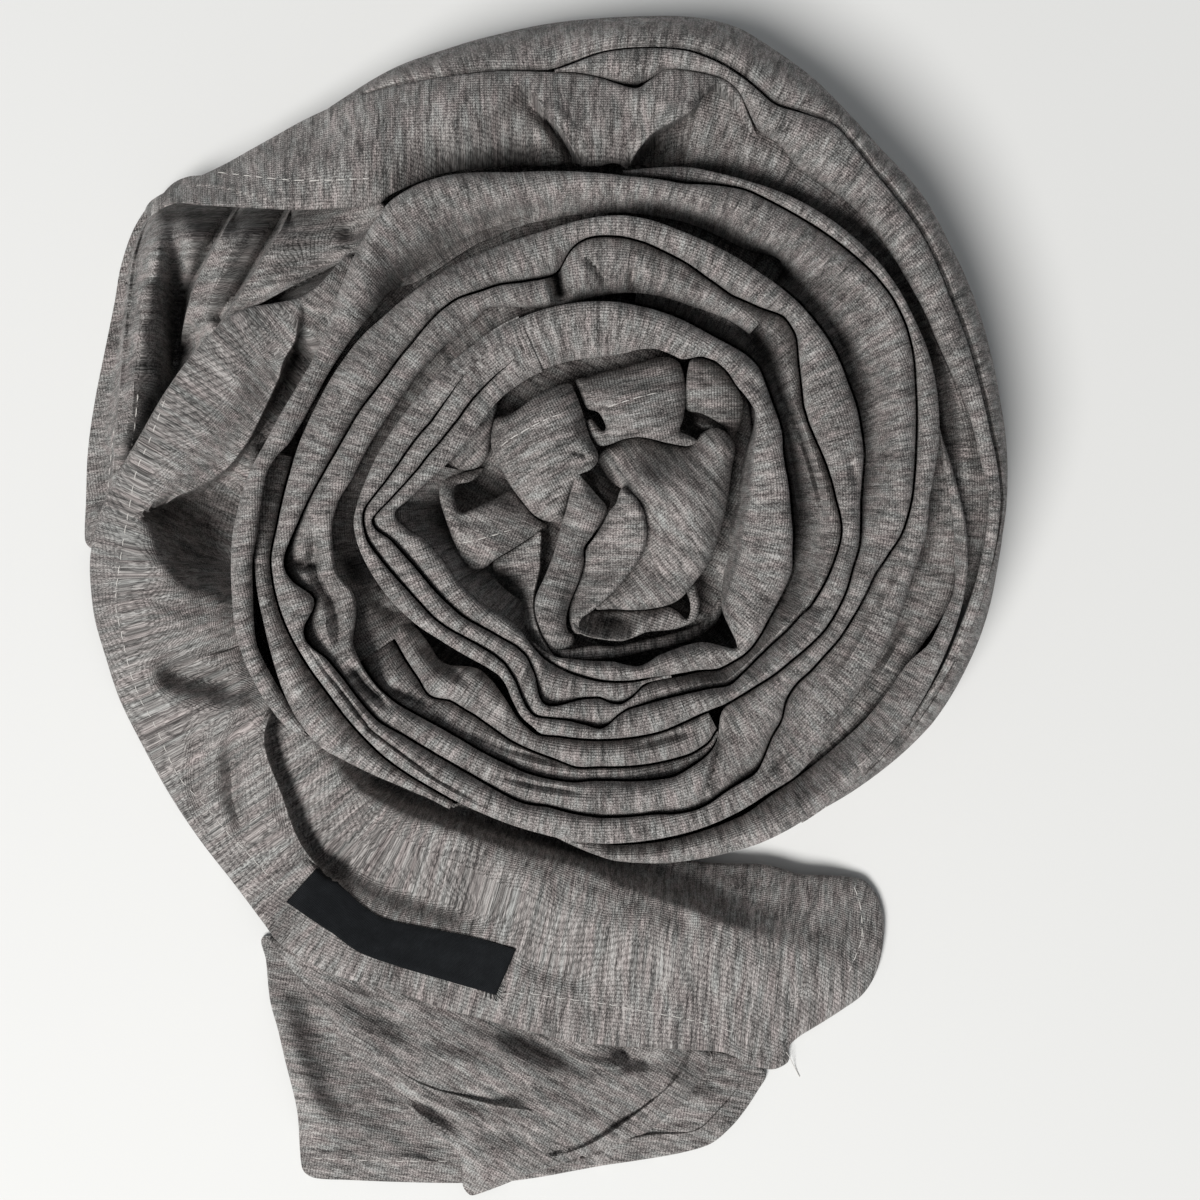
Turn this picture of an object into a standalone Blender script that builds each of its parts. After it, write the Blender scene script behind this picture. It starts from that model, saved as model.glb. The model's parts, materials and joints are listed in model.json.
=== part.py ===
"""A jersey hijab wound flat-side down into a rosette, with its free end laid out in front.

The strip stands on its edge in the roll, so each turn shows as a folded ridge of cloth.
Metres, +Z up.  The origin is on the surface that the roll rests on, under the roll's middle.
"""
import math

import bmesh
import bpy
import numpy as np
from mathutils import Vector
from mathutils.bvhtree import BVHTree

for old in list(bpy.data.objects):
    bpy.data.objects.remove(old, do_unlink=True)

# ---------------------------------------------------------------- driving sizes
# The plan is a square of 1200 x 1200 steps, x to the right and y downwards.  It is drawn
# from a point above the roll, so a step is worth less the higher it lies.
PLAN_HALF = 600.0            # middle of the plan, in steps
EYE_HEIGHT = 0.400           # the drawing point's height
EYE_Y = -0.0234              # and its place in front of the roll's middle
EYE_STEPS = 1496.0           # steps of the plan for a slope of one from the drawing point
ROLL = (600.0, 500.0)        # middle of the roll on the plan
MM = 0.001
WALL = 1.3 * MM              # jersey, doubled over in a fold
PANEL = 1.4 * MM             # wall of the broad layers
SEAM = 1.1                   # half the gap between two folds, in steps (a quarter millimetre)
FLOOR_GAP = 0.3 * MM
CORE_TOP = 28.0              # top of the hidden layers, mm
FOOT_IN = 28.6               # foot of the folds that stand on the hidden layers, mm
FOOT_RIM = 17.0              # foot of the folds that stand on the hidden layers' rim, mm
CORE_STEPS = 328.0           # plan radius of the hidden layers
STATION = 15                 # degrees between two sections of a turn
# and the sections between them where the folds bend sharply, degrees
BENDS = (97.5, 187.5, 202.5, 307.5, 322.5)


def place(x, y, z_mm):
    """A point of the plan at a height in millimetres, in metres."""
    z = z_mm * MM
    k = (EYE_HEIGHT - z) / EYE_STEPS
    return ((x - PLAN_HALF) * k, EYE_Y - (y - PLAN_HALF) * k, z)


def polar(turn, radius, z_mm):
    a = math.radians(turn)
    return place(ROLL[0] + radius * math.cos(a), ROLL[1] - radius * math.sin(a), z_mm)


def step_size(z_mm):
    return (EYE_HEIGHT - z_mm * MM) / EYE_STEPS


# ---------------------------------------------------------------- building
def cloth_material(name, colour, roughness):
    m = bpy.data.materials.new(name)
    m.use_nodes = True
    b = m.node_tree.nodes["Principled BSDF"]
    b.inputs["Base Color"].default_value = (*colour, 1.0)
    b.inputs["Roughness"].default_value = roughness
    b.inputs["Metallic"].default_value = 0.0
    return m


def make(name, verts, faces, colour=(0.20, 0.195, 0.19), roughness=0.9):
    mesh = bpy.data.meshes.new(name)
    mesh.from_pydata([tuple(v) for v in verts], [], faces)
    bm = bmesh.new()
    bm.from_mesh(mesh)
    bmesh.ops.triangulate(bm, faces=bm.faces[:])
    bmesh.ops.recalc_face_normals(bm, faces=bm.faces[:])
    if bm.calc_volume(signed=True) < 0:
        bmesh.ops.reverse_faces(bm, faces=bm.faces[:])
    bm.to_mesh(mesh)
    bm.free()
    mesh.shade_smooth()
    ob = bpy.data.objects.new(name, mesh)
    bpy.context.scene.collection.objects.link(ob)
    mesh.materials.append(cloth_material(name + "_cloth", colour, roughness))
    return ob


def loft(name, rings, colour=(0.20, 0.195, 0.19)):
    """A closed body from equal rings of points, capped at both ends."""
    n = len(rings[0])
    verts = [p for ring in rings for p in ring]
    faces = []
    for i in range(len(rings) - 1):
        a, b = i * n, (i + 1) * n
        for j in range(n):
            k = (j + 1) % n
            faces.append((a + j, a + k, b + k, b + j))
    faces.append(tuple(range(n)))
    faces.append(tuple(len(verts) - 1 - j for j in range(n)))
    return make(name, verts, faces, colour)


# Across a fold: share of the half width from its middle, and share of the shoulder's drop.
FOLD_SHAPE = ((1.0, 1.0), (0.80, 0.25), (0.0, 0.0), (-0.80, 0.25), (-1.0, 1.0))
FOLD_INSIDE = ((-0.85, 0.75), (0.85, 0.75))
SHOULDER = 6.0               # deepest drop from a fold's crest to its side walls, mm


def fold_section(turn, outer, inner, crest, foot):
    """One section of a fold standing on its edge: an upturned U of cloth."""
    mid, half = (outer + inner) / 2, (outer - inner) / 2 - SEAM
    mm_step = step_size(crest) / MM
    drop = min(SHOULDER, max(1.5, 0.55 * 2 * half * mm_step))
    t_mm = WALL / MM
    t = min(t_mm / mm_step, 0.6 * half)
    ring = [(1.0 * half, foot)] + [(f * half, crest - s * drop) for f, s in FOLD_SHAPE] + [(-half, foot)]
    inside = half - t
    ring += [(-inside, foot)] + [(f * inside, crest - t_mm - s * drop) for f, s in FOLD_INSIDE] + [(inside, foot)]
    return [polar(turn, mid + dr, z) for dr, z in ring]


def fold(name, rows, foot=FOOT_IN, colour=(0.20, 0.195, 0.19)):
    """rows: (turn in degrees, outer edge, inner edge in plan steps, crest in mm)."""
    table = np.array(rows, float)
    first, last = table[0, 0], table[-1, 0]
    every = sorted({*range(0, 360, STATION), *BENDS})
    inside = [t + lap for lap in (0, 360, 720, 1080) for t in every if first + 2 < t + lap < last - 2]
    turns = [first, *inside, last]
    rings = []
    for t in turns:
        outer, inner, crest = (np.interp(t, table[:, 0], table[:, c]) for c in (1, 2, 3))
        rings.append(fold_section(t, outer, inner, crest, foot))
    return loft(name, rings, colour)


def panel(name, rows, thickness=PANEL, colour=(0.20, 0.195, 0.19), upright=False):
    """A broad layer: rows of (x, y, z mm) points across the cloth, equal in number, from one end
    to the other.  The wall's thickness goes straight down from the rows, or, where the layer
    stands upright, inwards from them."""
    grid = np.array(rows, float)
    n, m = grid.shape[:2]
    top = [Vector(place(*grid[i, j])) for i in range(n) for j in range(m)]
    low = []
    for i in range(n):
        for j in range(m):
            p = top[i * m + j].copy()
            if upright:
                p = p - Vector((p.x, p.y, 0.0)).normalized() * thickness
            else:
                p.z = max(p.z - thickness, FLOOR_GAP)
            low.append(p)
    verts, faces, k = top + low, [], n * m
    for i in range(n - 1):
        for j in range(m - 1):
            a, b, c, d = i * m + j, i * m + j + 1, (i + 1) * m + j + 1, (i + 1) * m + j
            faces += [(a, b, c, d), (k + d, k + c, k + b, k + a)]
    for i in range(n - 1):
        for j, flip in ((0, False), (m - 1, True)):
            a, d = i * m + j, (i + 1) * m + j
            faces.append((a, d, k + d, k + a) if not flip else (d, a, k + a, k + d))
    for j in range(m - 1):
        for i, flip in ((0, True), (n - 1, False)):
            a, b = i * m + j, i * m + j + 1
            faces.append((a, b, k + b, k + a) if flip is False else (b, a, k + a, k + b))
    return make(name, verts, faces, colour)


def lobe(name, outline, crest, foot, colour=(0.20, 0.195, 0.19), tilt=(0.0, 0.0)):
    """A crumpled lobe of cloth in the eye of the roll: an open cap over a plan outline.
    tilt lifts its right side and its far side, in mm for 100 steps."""
    pts = np.array(outline, float)
    mid = pts.mean(0)
    t_mm = WALL / MM
    shrink = 1.0 - 2.2 * t_mm / (step_size(crest) / MM) / max(np.ptp(pts[:, 0]), np.ptp(pts[:, 1]))
    rings = []

    def ring(share, drop):
        return [place(mid[0] + (x - mid[0]) * share, mid[1] + (y - mid[1]) * share,
                      max(crest - drop + tilt[0] * (x - mid[0]) * share / 100
                          - tilt[1] * (y - mid[1]) * share / 100, foot)) for x, y in pts]

    def flat(share):
        return [place(mid[0] + (x - mid[0]) * share, mid[1] + (y - mid[1]) * share, foot) for x, y in pts]

    outside = [flat(1.0), ring(1.0, 6.0), ring(0.93, 2.5), ring(0.70, 0.6), ring(0.30, 0.0)]
    s = shrink
    inside = [ring(0.30 * s, t_mm), ring(0.70 * s, 0.6 + t_mm), ring(0.93 * s, 2.5 + t_mm),
              ring(1.0 * s, 6.0 + 0.5 * t_mm), flat(1.0 * s)]
    # the cap's rim is the strip between the first and the last ring
    verts = [p for r in outside + inside for p in r]
    n, faces = len(pts), []
    k = len(outside)

    def band(a, b):
        for j in range(n):
            i = (j + 1) % n
            faces.append((a * n + j, a * n + i, b * n + i, b * n + j))

    for q in range(k - 1):
        band(q, q + 1)
    faces.append(tuple((k - 1) * n + j for j in range(n)))
    for q in range(k, 2 * k - 1):
        band(q, q + 1)
    faces.append(tuple(k * n + n - 1 - j for j in range(n)))
    band(2 * k - 1, 0)
    return make(name, verts, faces, colour)


GREY = (0.20, 0.195, 0.19)
SHADES = {i: tuple(round(c * (0.80 + 0.05 * (i % 9)), 3) for c in GREY) for i in range(40)}

# ---------------------------------------------------------------- hidden layers
# One rounded body for all the turns that don't show, flat underneath, stepped at its rim as
# the plies end one inside the other.   (height mm, plan radius in steps)
CORE_RIM = (
    # height, radius
    (0.0, CORE_STEPS + 28), (3.0, CORE_STEPS + 36), (8.0, CORE_STEPS + 38), (8.6, CORE_STEPS + 28),
    (13.0, CORE_STEPS + 31), (15.0, CORE_STEPS + 24), (15.4, CORE_STEPS - 5), (21.0, CORE_STEPS - 4),
    (21.6, CORE_STEPS - 14), (26.0, CORE_STEPS - 18), (CORE_TOP, CORE_STEPS - 40),
)
CORE_SIDES = 32
core_rings = [[polar(360.0 * j / CORE_SIDES, r, z) for j in range(CORE_SIDES)] for z, r in CORE_RIM]
loft("inner_layers", core_rings, SHADES[0])

# ---------------------------------------------------------------- turns of the roll
# Each stretch of the strip that shows, from where it comes up to where it goes under.
# Columns: turn (degrees, anticlockwise from the right), outer edge, inner edge, crest (mm).
TURN_1 = (
    (252, 167, 154, 52), (265, 177, 161, 55), (285, 186, 167, 57), (300, 196, 166, 57),
    (305, 206, 172, 57), (313, 211, 194, 56), (320, 209, 162, 59), (345, 200, 146, 61),
    (370, 190, 155, 62), (390, 199, 178, 62), (412, 203, 179, 62), (420, 200, 161, 62),
    (445, 199, 144, 62), (474, 199, 141, 62),
)
TURN_2_INNER = (
    (477, 165, 141, 61), (495, 161, 141, 60), (515, 166, 143, 60), (532, 188, 166, 60),
    (541, 211, 192, 59), (545, 214, 204, 59), (552, 205, 180, 58), (566, 189, 165, 58),
    (595, 168, 150, 58), (605, 172, 160, 57), (613, 206, 170, 56), (622, 202, 177, 56),
    (630, 196, 182, 55),
)
TURN_2_MIDDLE = (
    (477, 184, 167, 61), (495, 184, 163, 61), (515, 186, 167, 61), (532, 208, 189, 60),
    (545, 238, 230, 59), (552, 232, 210, 59), (566, 211, 190, 59), (578, 201, 181, 59),
    (595, 187, 169, 58), (605, 199, 173, 58), (613, 225, 208, 57), (622, 222, 204, 57),
    (630, 228, 198, 56), (637, 210, 206, 55), (645, 208, 188, 54), (660, 214, 198, 52),
    (665, 220, 208, 51), (673, 223, 213, 50), (680, 224, 211, 50), (705, 238, 202, 50),
    (710, 236, 200, 49), (720, 220, 193, 48), (740, 208, 197, 47), (765, 218, 208, 47),
    (785, 212, 201, 47), (800, 208, 199, 46),
)
TURN_2_OUTER = (
    (477, 201, 185, 61), (495, 204, 184, 61), (515, 214, 187, 61), (532, 233, 209, 61),
    (545, 249, 239, 60), (552, 246, 233, 60), (566, 233, 212, 60), (578, 218, 202, 59),
    (595, 203, 188, 59), (605, 216, 200, 59), (613, 239, 226, 58), (622, 239, 223, 58),
    (630, 239, 229, 58), (637, 239, 211, 58), (645, 239, 209, 58), (660, 239, 216, 58),
    (673, 245, 224, 58), (690, 260, 232, 59), (710, 263, 245, 60), (720, 261, 237, 60),
    (740, 274, 223, 60), (757, 280, 245, 59), (765, 281, 260, 59), (772, 280, 248, 59),
    (800, 286, 262, 59), (810, 285, 265, 58), (817, 279, 251, 57), (825, 275, 230, 57),
    (846, 279, 248, 58), (870, 293, 248, 57), (892, 309, 273, 57), (905, 325, 305, 57),
    (912, 336, 323, 56), (919, 339, 301, 56), (926, 338, 327, 56), (938, 335, 313, 56),
    (960, 334, 303, 55), (975, 338, 312, 55), (1005, 345, 320, 54), (1020, 339, 315, 54),
    (1025, 339, 304, 53), (1033, 331, 274, 53), (1040, 322, 271, 53), (1070, 326, 295, 53),
    (1085, 338, 317, 54), (1100, 357, 337, 54), (1115, 367, 357, 53), (1132, 361, 347, 52),
    (1150, 349, 335, 50), (1166, 338, 330, 47),
)
TURN_3 = (
    (55, 246, 227, 56), (75, 255, 226, 56), (90, 262, 204, 57), (97, 250, 199, 57),
    (105, 229, 199, 56), (112, 234, 208, 57), (126, 246, 219, 57), (150, 246, 221, 58),
    (172, 272, 244, 58), (185, 303, 268, 57), (192, 321, 272, 55), (199, 299, 266, 55),
    (206, 325, 290, 55), (218, 311, 296, 55), (240, 302, 278, 55), (262, 311, 284, 54),
    (285, 322, 288, 54), (300, 313, 244, 53), (305, 296, 242, 55), (313, 273, 246, 56),
    (320, 269, 251, 57), (330, 275, 261, 58), (340, 281, 265, 58), (350, 294, 265, 58),
    (360, 311, 262, 57),    (380, 335, 275, 56), (395, 355, 281, 55), (405, 351, 282, 54), (412, 348, 301, 53),
    (435, 327, 302, 53), (450, 327, 290, 54), (465, 339, 286, 54), (480, 365, 284, 53),
    (486, 366, 283, 52), (500, 338, 294, 53), (513, 321, 299, 54), (525, 332, 307, 54),
    (532, 344, 326, 54), (535, 351, 335, 54), (545, 369, 343, 53), (552, 378, 354, 52),
    (566, 392, 373, 50), (575, 389, 377, 48),
)
TURN_3_LOW = (
    (207, 280, 257, 44), (220, 289, 256, 50), (235, 276, 252, 51), (253, 280, 261, 51),
    (270, 279, 269, 49), (286, 280, 271, 46),
)
TURN_3_LOWER = (
    (212, 248, 227, 46), (225, 254, 227, 51), (235, 248, 208, 54), (245, 250, 221, 55),
    (253, 258, 242, 54), (270, 266, 241, 53), (285, 267, 240, 52), (290, 264, 240, 50),
)
TURN_4_LOW = (
    (177, 327, 319, 46), (185, 342, 327, 48), (192, 352, 338, 49), (206, 367, 340, 51),
    (217, 375, 337, 51), (228, 358, 338, 48), (238, 343, 336, 44),
)
TURN_5 = (
    (272, 362, 350, 42), (280, 367, 349, 46), (295, 379, 348, 50), (320, 379, 344, 50),
    (335, 379, 353, 49), (345, 378, 366, 48), (355, 370, 355, 47), (368, 354, 346, 44),
)
TURN_5_LOW = (
    (320, 341, 325, 37), (335, 345, 326, 38), (345, 362, 327, 40), (352, 354, 330, 40),
)
TURN_6 = (
    (330, 387, 382, 44), (340, 393, 383, 46), (350, 397, 388, 48), (360, 400, 388, 48),
    (370, 396, 380, 49), (385, 401, 373, 49), (400, 418, 381, 48), (412, 430, 386, 47),
    (420, 436, 390, 46), (426, 432, 401, 46), (431, 440, 430, 45), (435, 450, 441, 45),
    (442, 457, 434, 44), (446, 453, 416, 44), (450, 446, 420, 43), (455, 434, 428, 42),
)
VALLEY = (
    (350, 382, 374, 40), (360, 384, 365, 39), (367, 378, 358, 37),
    (379, 369, 361, 34), (395, 374, 369, 34), (405, 381, 370, 35), (414, 384, 366, 36),
)
fold("turn_1", TURN_1, colour=SHADES[1])
fold("turn_2_inner", TURN_2_INNER, colour=SHADES[4])
fold("turn_2_middle", TURN_2_MIDDLE, colour=SHADES[6])
fold("turn_2_outer", TURN_2_OUTER, colour=SHADES[8])
fold("turn_3", TURN_3, colour=SHADES[3])
fold("turn_3_low", TURN_3_LOW, colour=SHADES[5])
fold("turn_3_lower", TURN_3_LOWER, colour=SHADES[7])
fold("turn_4_low", TURN_4_LOW, colour=SHADES[2])
fold("turn_5", TURN_5, foot=FOOT_RIM, colour=SHADES[6])
fold("turn_5_low", TURN_5_LOW, colour=SHADES[0])
fold("turn_6", TURN_6, foot=FOOT_RIM, colour=SHADES[4])
fold("valley", VALLEY, foot=FOOT_RIM, colour=SHADES[1])

# ---------------------------------------------------------------- eye of the roll
# Crumpled lobes of the strip's inner end.  Outlines on the plan, anticlockwise.
PETAL_LEFT = ((494, 452), (499, 426), (514, 408), (545, 388), (569, 386), (577, 402), (583, 426),
              (594, 449), (590, 466), (577, 474), (566, 514), (545, 514), (522, 497), (506, 473))
PETAL_TOP = ((581, 385), (602, 376), (640, 366), (664, 361), (676, 368), (679, 388), (679, 410),
             (674, 428), (640, 433), (612, 443), (600, 438), (606, 424), (594, 404))
PETAL_RIGHT = ((691, 380), (698, 373), (714, 384), (730, 400), (740, 414), (730, 423), (712, 412), (690, 404))
LOBE = ((602, 456), (640, 452), (690, 450), (722, 444), (732, 456), (727, 500), (717, 548),
        (699, 573), (677, 597), (648, 602), (612, 602), (590, 606), (596, 560), (603, 520), (600, 486))
STRIP_DOWN = ((572, 520), (590, 513), (594, 530), (582, 560), (572, 600), (568, 636), (546, 638),
              (538, 606), (545, 566), (558, 526))
STRIP_LEFT = ((458, 514), (480, 510), (518, 497), (530, 508), (550, 520), (536, 532), (500, 551),
              (470, 562), (452, 546), (446, 520))
TUCK = ((582, 622), (600, 614), (640, 616), (668, 608), (690, 610), (688, 621), (640, 634), (600, 632))
lobe("petal_left", PETAL_LEFT, 56, FOOT_IN, SHADES[5])
lobe("petal_top", PETAL_TOP, 56, FOOT_IN, SHADES[7])
lobe("petal_right", PETAL_RIGHT, 52, FOOT_IN, SHADES[3])
lobe("lobe_large", LOBE, 58, FOOT_IN, SHADES[8])
lobe("strip_down", STRIP_DOWN, 54, FOOT_IN, SHADES[4])
lobe("strip_left", STRIP_LEFT, 48, FOOT_IN, SHADES[2])
lobe("tuck", TUCK, 46, FOOT_IN, SHADES[6])

# ---------------------------------------------------------------- outermost turn
# The layer that closes the roll outside, from its foot up over its rim.
# Columns: turn (degrees), plan radii of its rim's inner face and of its widest point, and
# the heights of its rim and its widest point (mm).
OUTER_WRAP = (
    (308, 384, 391, 26, 14), (320, 388, 397, 34, 20), (330, 391, 402, 38, 22),
    (345, 396, 404, 40, 22), (360, 402, 407, 41, 22), (370, 400, 411, 43, 22),
    (380, 401, 417, 43, 22), (390, 408, 428, 43, 22), (400, 421, 441, 43, 22),
    (410, 432, 449, 42, 22), (417, 440, 459, 42, 22), (424, 443, 474, 42, 22),
    (430, 447, 486, 42, 20), (435, 456, 492, 41, 18), (442, 462, 491, 40, 17),
    (448, 456, 484, 39, 16), (455, 440, 480, 38, 15), (464, 443, 477, 36, 14),
    (474, 452, 478, 33, 13), (484, 456, 480, 27, 10), (491, 462, 488, 19, 8), (498, 470, 496, 12, 5),
)
FOOT_TUCK = 0.980            # the side's foot is tucked in under its widest point
FOOT_Z = 1.7                 # mm
RIM = 6.0                    # the rim's width, in steps
panel("outer_wrap", [[(ROLL[0] + r * math.cos(math.radians(turn)), ROLL[1] - r * math.sin(math.radians(turn)), z)
                      for r, z in ((inner + RIM, rim_z), ((inner + RIM + widest) / 2 + 2, rim_z - 5.0),
                                   (widest, widest_z), (widest * FOOT_TUCK, FOOT_Z))]
                     for turn, inner, widest, rim_z, widest_z in OUTER_WRAP],
      upright=True, colour=SHADES[2])

# The hemmed edge that lies over the far side of the roll.
TOP_FLAP = (
    # inner edge      inner mid         outer mid         outer edge
    ((756, 176, 30), (752, 160, 40), (748, 140, 43), (742, 124, 42)),
    ((706, 158, 30), (708, 138, 42), (706, 110, 46), (704, 84, 44)),
    ((660, 152, 26), (662, 130, 38), (662, 104, 46), (662, 80, 44)),
    ((612, 160, 38), (612, 140, 46), (616, 120, 47), (618, 94, 44)),
    ((576, 158, 36), (574, 140, 45), (572, 112, 47), (568, 82, 44)),
    ((534, 166, 26), (530, 138, 38), (520, 108, 47), (512, 78, 44)),
    ((478, 166, 32), (470, 140, 44), (458, 110, 47), (450, 84, 43)),
    ((408, 180, 34), (400, 152, 45), (386, 124, 45), (372, 98, 38)),
    ((366, 202, 36), (344, 176, 42), (318, 150, 38), (296, 128, 24)),
    ((300, 204, 36), (276, 186, 36), (248, 168, 28), (228, 156, 15)),
    ((236, 202, 33), (214, 192, 30), (190, 186, 22), (168, 184, 10)),
    ((178, 200, 28), (164, 200, 25), (152, 202, 18), (142, 206, 7)),
)
panel("top_flap", TOP_FLAP, colour=SHADES[7])

# The cloth under that hem, down the roll's left side to where the free end covers it.
SIDE_LEFT = (
    # outline          low               middle            by the roll
    ((238, 180, 4), (246, 190, 8), (300, 222, 30), (352, 224, 33)),
    ((196, 192, 4), (206, 200, 10), (262, 232, 32), (326, 262, 34)),
    ((150, 210, 4), (162, 218, 20), (226, 240, 34), (300, 300, 36)),
    ((128, 240, 3), (142, 250, 22), (196, 262, 32), (270, 316, 30)),
    ((120, 280, 3), (136, 290, 22), (180, 296, 26), (216, 318, 26)),
    ((112, 330, 3), (130, 335, 20), (160, 336, 22), (188, 345, 22)),
    ((103, 390, 3), (116, 392, 17), (140, 394, 19), (156, 396, 19)),
    ((95, 440, 3), (106, 441, 12), (122, 442, 14), (134, 443, 14)),
    ((90, 490, 3), (97, 490, 7), (104, 491, 9), (110, 492, 9)),
    ((88, 540, 3), (91, 540, 4), (93, 540, 5), (95, 540, 5)),
)
panel("side_left", SIDE_LEFT, colour=SHADES[3])

# ---------------------------------------------------------------- free end
# The swath that leaves the roll at its left and lies round its front.
# Each row runs from the hem on the surface up to the edge by the roll.
TAIL_UPPER = (
    # hem             low               middle            crest             by the roll
    ((256, 310, 39), (282, 300, 41), (306, 292, 42), (326, 284, 42), (340, 274, 40)),
    ((224, 328, 38), (248, 326, 41), (272, 322, 43), (296, 316, 44), (318, 308, 42)),
    ((196, 352, 35), (222, 352, 40), (248, 352, 43), (272, 352, 44), (296, 356, 40)),
    ((168, 390, 31), (194, 392, 37), (220, 394, 41), (244, 394, 42), (264, 398, 37)),
    ((142, 434, 25), (166, 436, 33), (192, 438, 38), (214, 440, 39), (232, 446, 34)),
    ((118, 478, 18), (138, 480, 26), (160, 482, 32), (186, 484, 32), (214, 492, 24)),
    ((100, 522, 11), (118, 524, 20), (140, 526, 27), (168, 528, 27), (212, 532, 20)),
    ((91, 570, 7), (108, 572, 16), (130, 574, 25), (164, 578, 32), (214, 582, 30)),
    ((92, 618, 4), (110, 618, 14), (134, 618, 23), (170, 620, 28), (218, 622, 28)),
    ((104, 664, 3), (122, 662, 12), (146, 660, 19), (178, 656, 20), (222, 652, 18)),
    ((124, 710, 3), (146, 704, 12), (174, 696, 21), (208, 690, 30), (236, 686, 32)),
    ((148, 756, 3), (174, 746, 12), (204, 736, 20), (236, 726, 28), (258, 716, 33)),
    ((174, 800, 3), (204, 786, 11), (234, 772, 18), (262, 756, 24), (284, 740, 32)),
    ((204, 844, 3), (240, 826, 10), (274, 806, 15), (306, 784, 20), (338, 768, 32)),
    ((238, 888, 4), (282, 864, 10), (326, 836, 14), (370, 810, 22), (398, 796, 33)),
    ((266, 930, 8), (324, 898, 12), (380, 864, 16), (430, 832, 26), (456, 820, 33)),
    ((330, 966, 12), (386, 926, 13), (440, 886, 18), (488, 852, 28), (512, 846, 30)),
    ((396, 990, 13), (448, 950, 15), (498, 908, 20), (542, 872, 28), (560, 868, 24)),
    ((460, 1012, 13), (508, 972, 15), (556, 930, 21), (602, 890, 27), (620, 886, 16)),
    ((524, 1030, 12), (566, 990, 15), (610, 946, 21), (654, 902, 25), (672, 888, 13)),
    ((590, 1042, 11), (628, 1004, 14), (668, 962, 19), (706, 916, 23), (722, 886, 11)),
    ((652, 1048, 10), (686, 1014, 13), (720, 976, 16), (752, 934, 18), (770, 882, 9)),
    ((708, 1052, 8), (738, 1022, 10), (768, 990, 12), (796, 950, 13), (816, 886, 8)),
    ((748, 1062, 5), (776, 1032, 6), (804, 1002, 8), (830, 964, 9), (856, 894, 6)),
    ((782, 1060, 3), (806, 1032, 3.5), (834, 1008, 4), (862, 976, 4.5), (880, 922, 4)),
)
tail = panel("tail_upper", TAIL_UPPER, colour=SHADES[8])

# The lobe that opens out from under the hem, and the layer that lies on the surface.
TAIL_LOBE = (
    # free edge          low               middle            under the hem
    ((280, 948, 3.6), (290, 946, 4.6), (300, 944, 5.0), (312, 944, 5.0)),
    ((318, 1004, 3.6), (336, 996, 6.5), (356, 986, 8.5), (376, 976, 9.0)),
    ((352, 1056, 3.6), (384, 1042, 7.0), (414, 1022, 9.5), (440, 1002, 10.0)),
    ((398, 1098, 3.6), (438, 1078, 6.0), (474, 1050, 9.0), (500, 1016, 9.5)),
    ((440, 1140, 3.6), (486, 1104, 5.0), (524, 1066, 7.5), (548, 1028, 8.5)),
    ((466, 1186, 3.6), (526, 1136, 5.5), (570, 1086, 7.5), (596, 1036, 7.5)),
    ((532, 1178, 3.6), (582, 1138, 6.0), (620, 1092, 7.0), (642, 1040, 7.0)),
    ((604, 1158, 3.6), (640, 1126, 5.5), (668, 1086, 6.5), (688, 1046, 5.5)),
    ((664, 1134, 3.6), (690, 1106, 4.5), (712, 1076, 4.5), (728, 1050, 4.0)),
)
panel("tail_lobe", TAIL_LOBE, thickness=1.2 * MM, colour=SHADES[6])

TAIL_LOWER = (
    # left or near edge    middle           far edge
    ((270, 952, 1.8), (290, 962, 1.8), (300, 972, 1.8)),
    ((272, 1000, 1.8), (312, 1008, 1.8), (360, 1016, 1.8)),
    ((284, 1056, 1.8), (340, 1052, 1.8), (430, 1040, 1.8)),
    ((296, 1110, 1.8), (380, 1096, 1.8), (500, 1050, 1.8)),
    ((304, 1166, 1.8), (420, 1140, 1.8), (560, 1060, 1.8)),
    ((400, 1181, 1.8), (480, 1140, 1.8), (600, 1070, 1.8)),
    ((500, 1182, 1.8), (560, 1130, 1.8), (640, 1070, 1.8)),
    ((600, 1166, 1.8), (640, 1120, 1.8), (680, 1070, 1.8)),
    ((680, 1153, 1.8), (700, 1110, 1.8), (715, 1070, 1.8)),
    ((738, 1118, 1.8), (738, 1090, 1.8), (740, 1072, 1.8)),
    ((760, 1084, 1.8), (758, 1078, 1.8), (756, 1074, 1.8)),
)
panel("tail_lower", TAIL_LOWER, thickness=1.5 * MM, colour=SHADES[1])

# ---------------------------------------------------------------- woven label
# A bare strip, 60 x 12.5 mm, sewn along the hem.  Its points are the swath's, moved out.
LABEL_ROWS = (
    # upper edge on the plan, lower edge on the plan
    ((320, 863), (289, 904)), ((342, 885), (311, 920)), ((364, 906), (333, 933)), ((387, 920), (360, 952)),
    ((430, 927), (402, 967)), ((472, 936), (450, 982)), ((515, 949), (497, 997)),
)
LABEL_GAP, LABEL_WALL, LABEL_CUTS, LABEL_ACROSS = 0.45 * MM, 0.6 * MM, 2, 3
bpy.context.view_layer.update()
bm = bmesh.new()
bm.from_mesh(tail.data)
tree = BVHTree.FromBMesh(bm)
eye = Vector((0.0, EYE_Y, EYE_HEIGHT))


def on_tail(x, y):
    hit, normal, _, _ = tree.ray_cast(eye, (Vector(place(x, y, 0.0)) - eye).normalized())
    return hit


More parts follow.
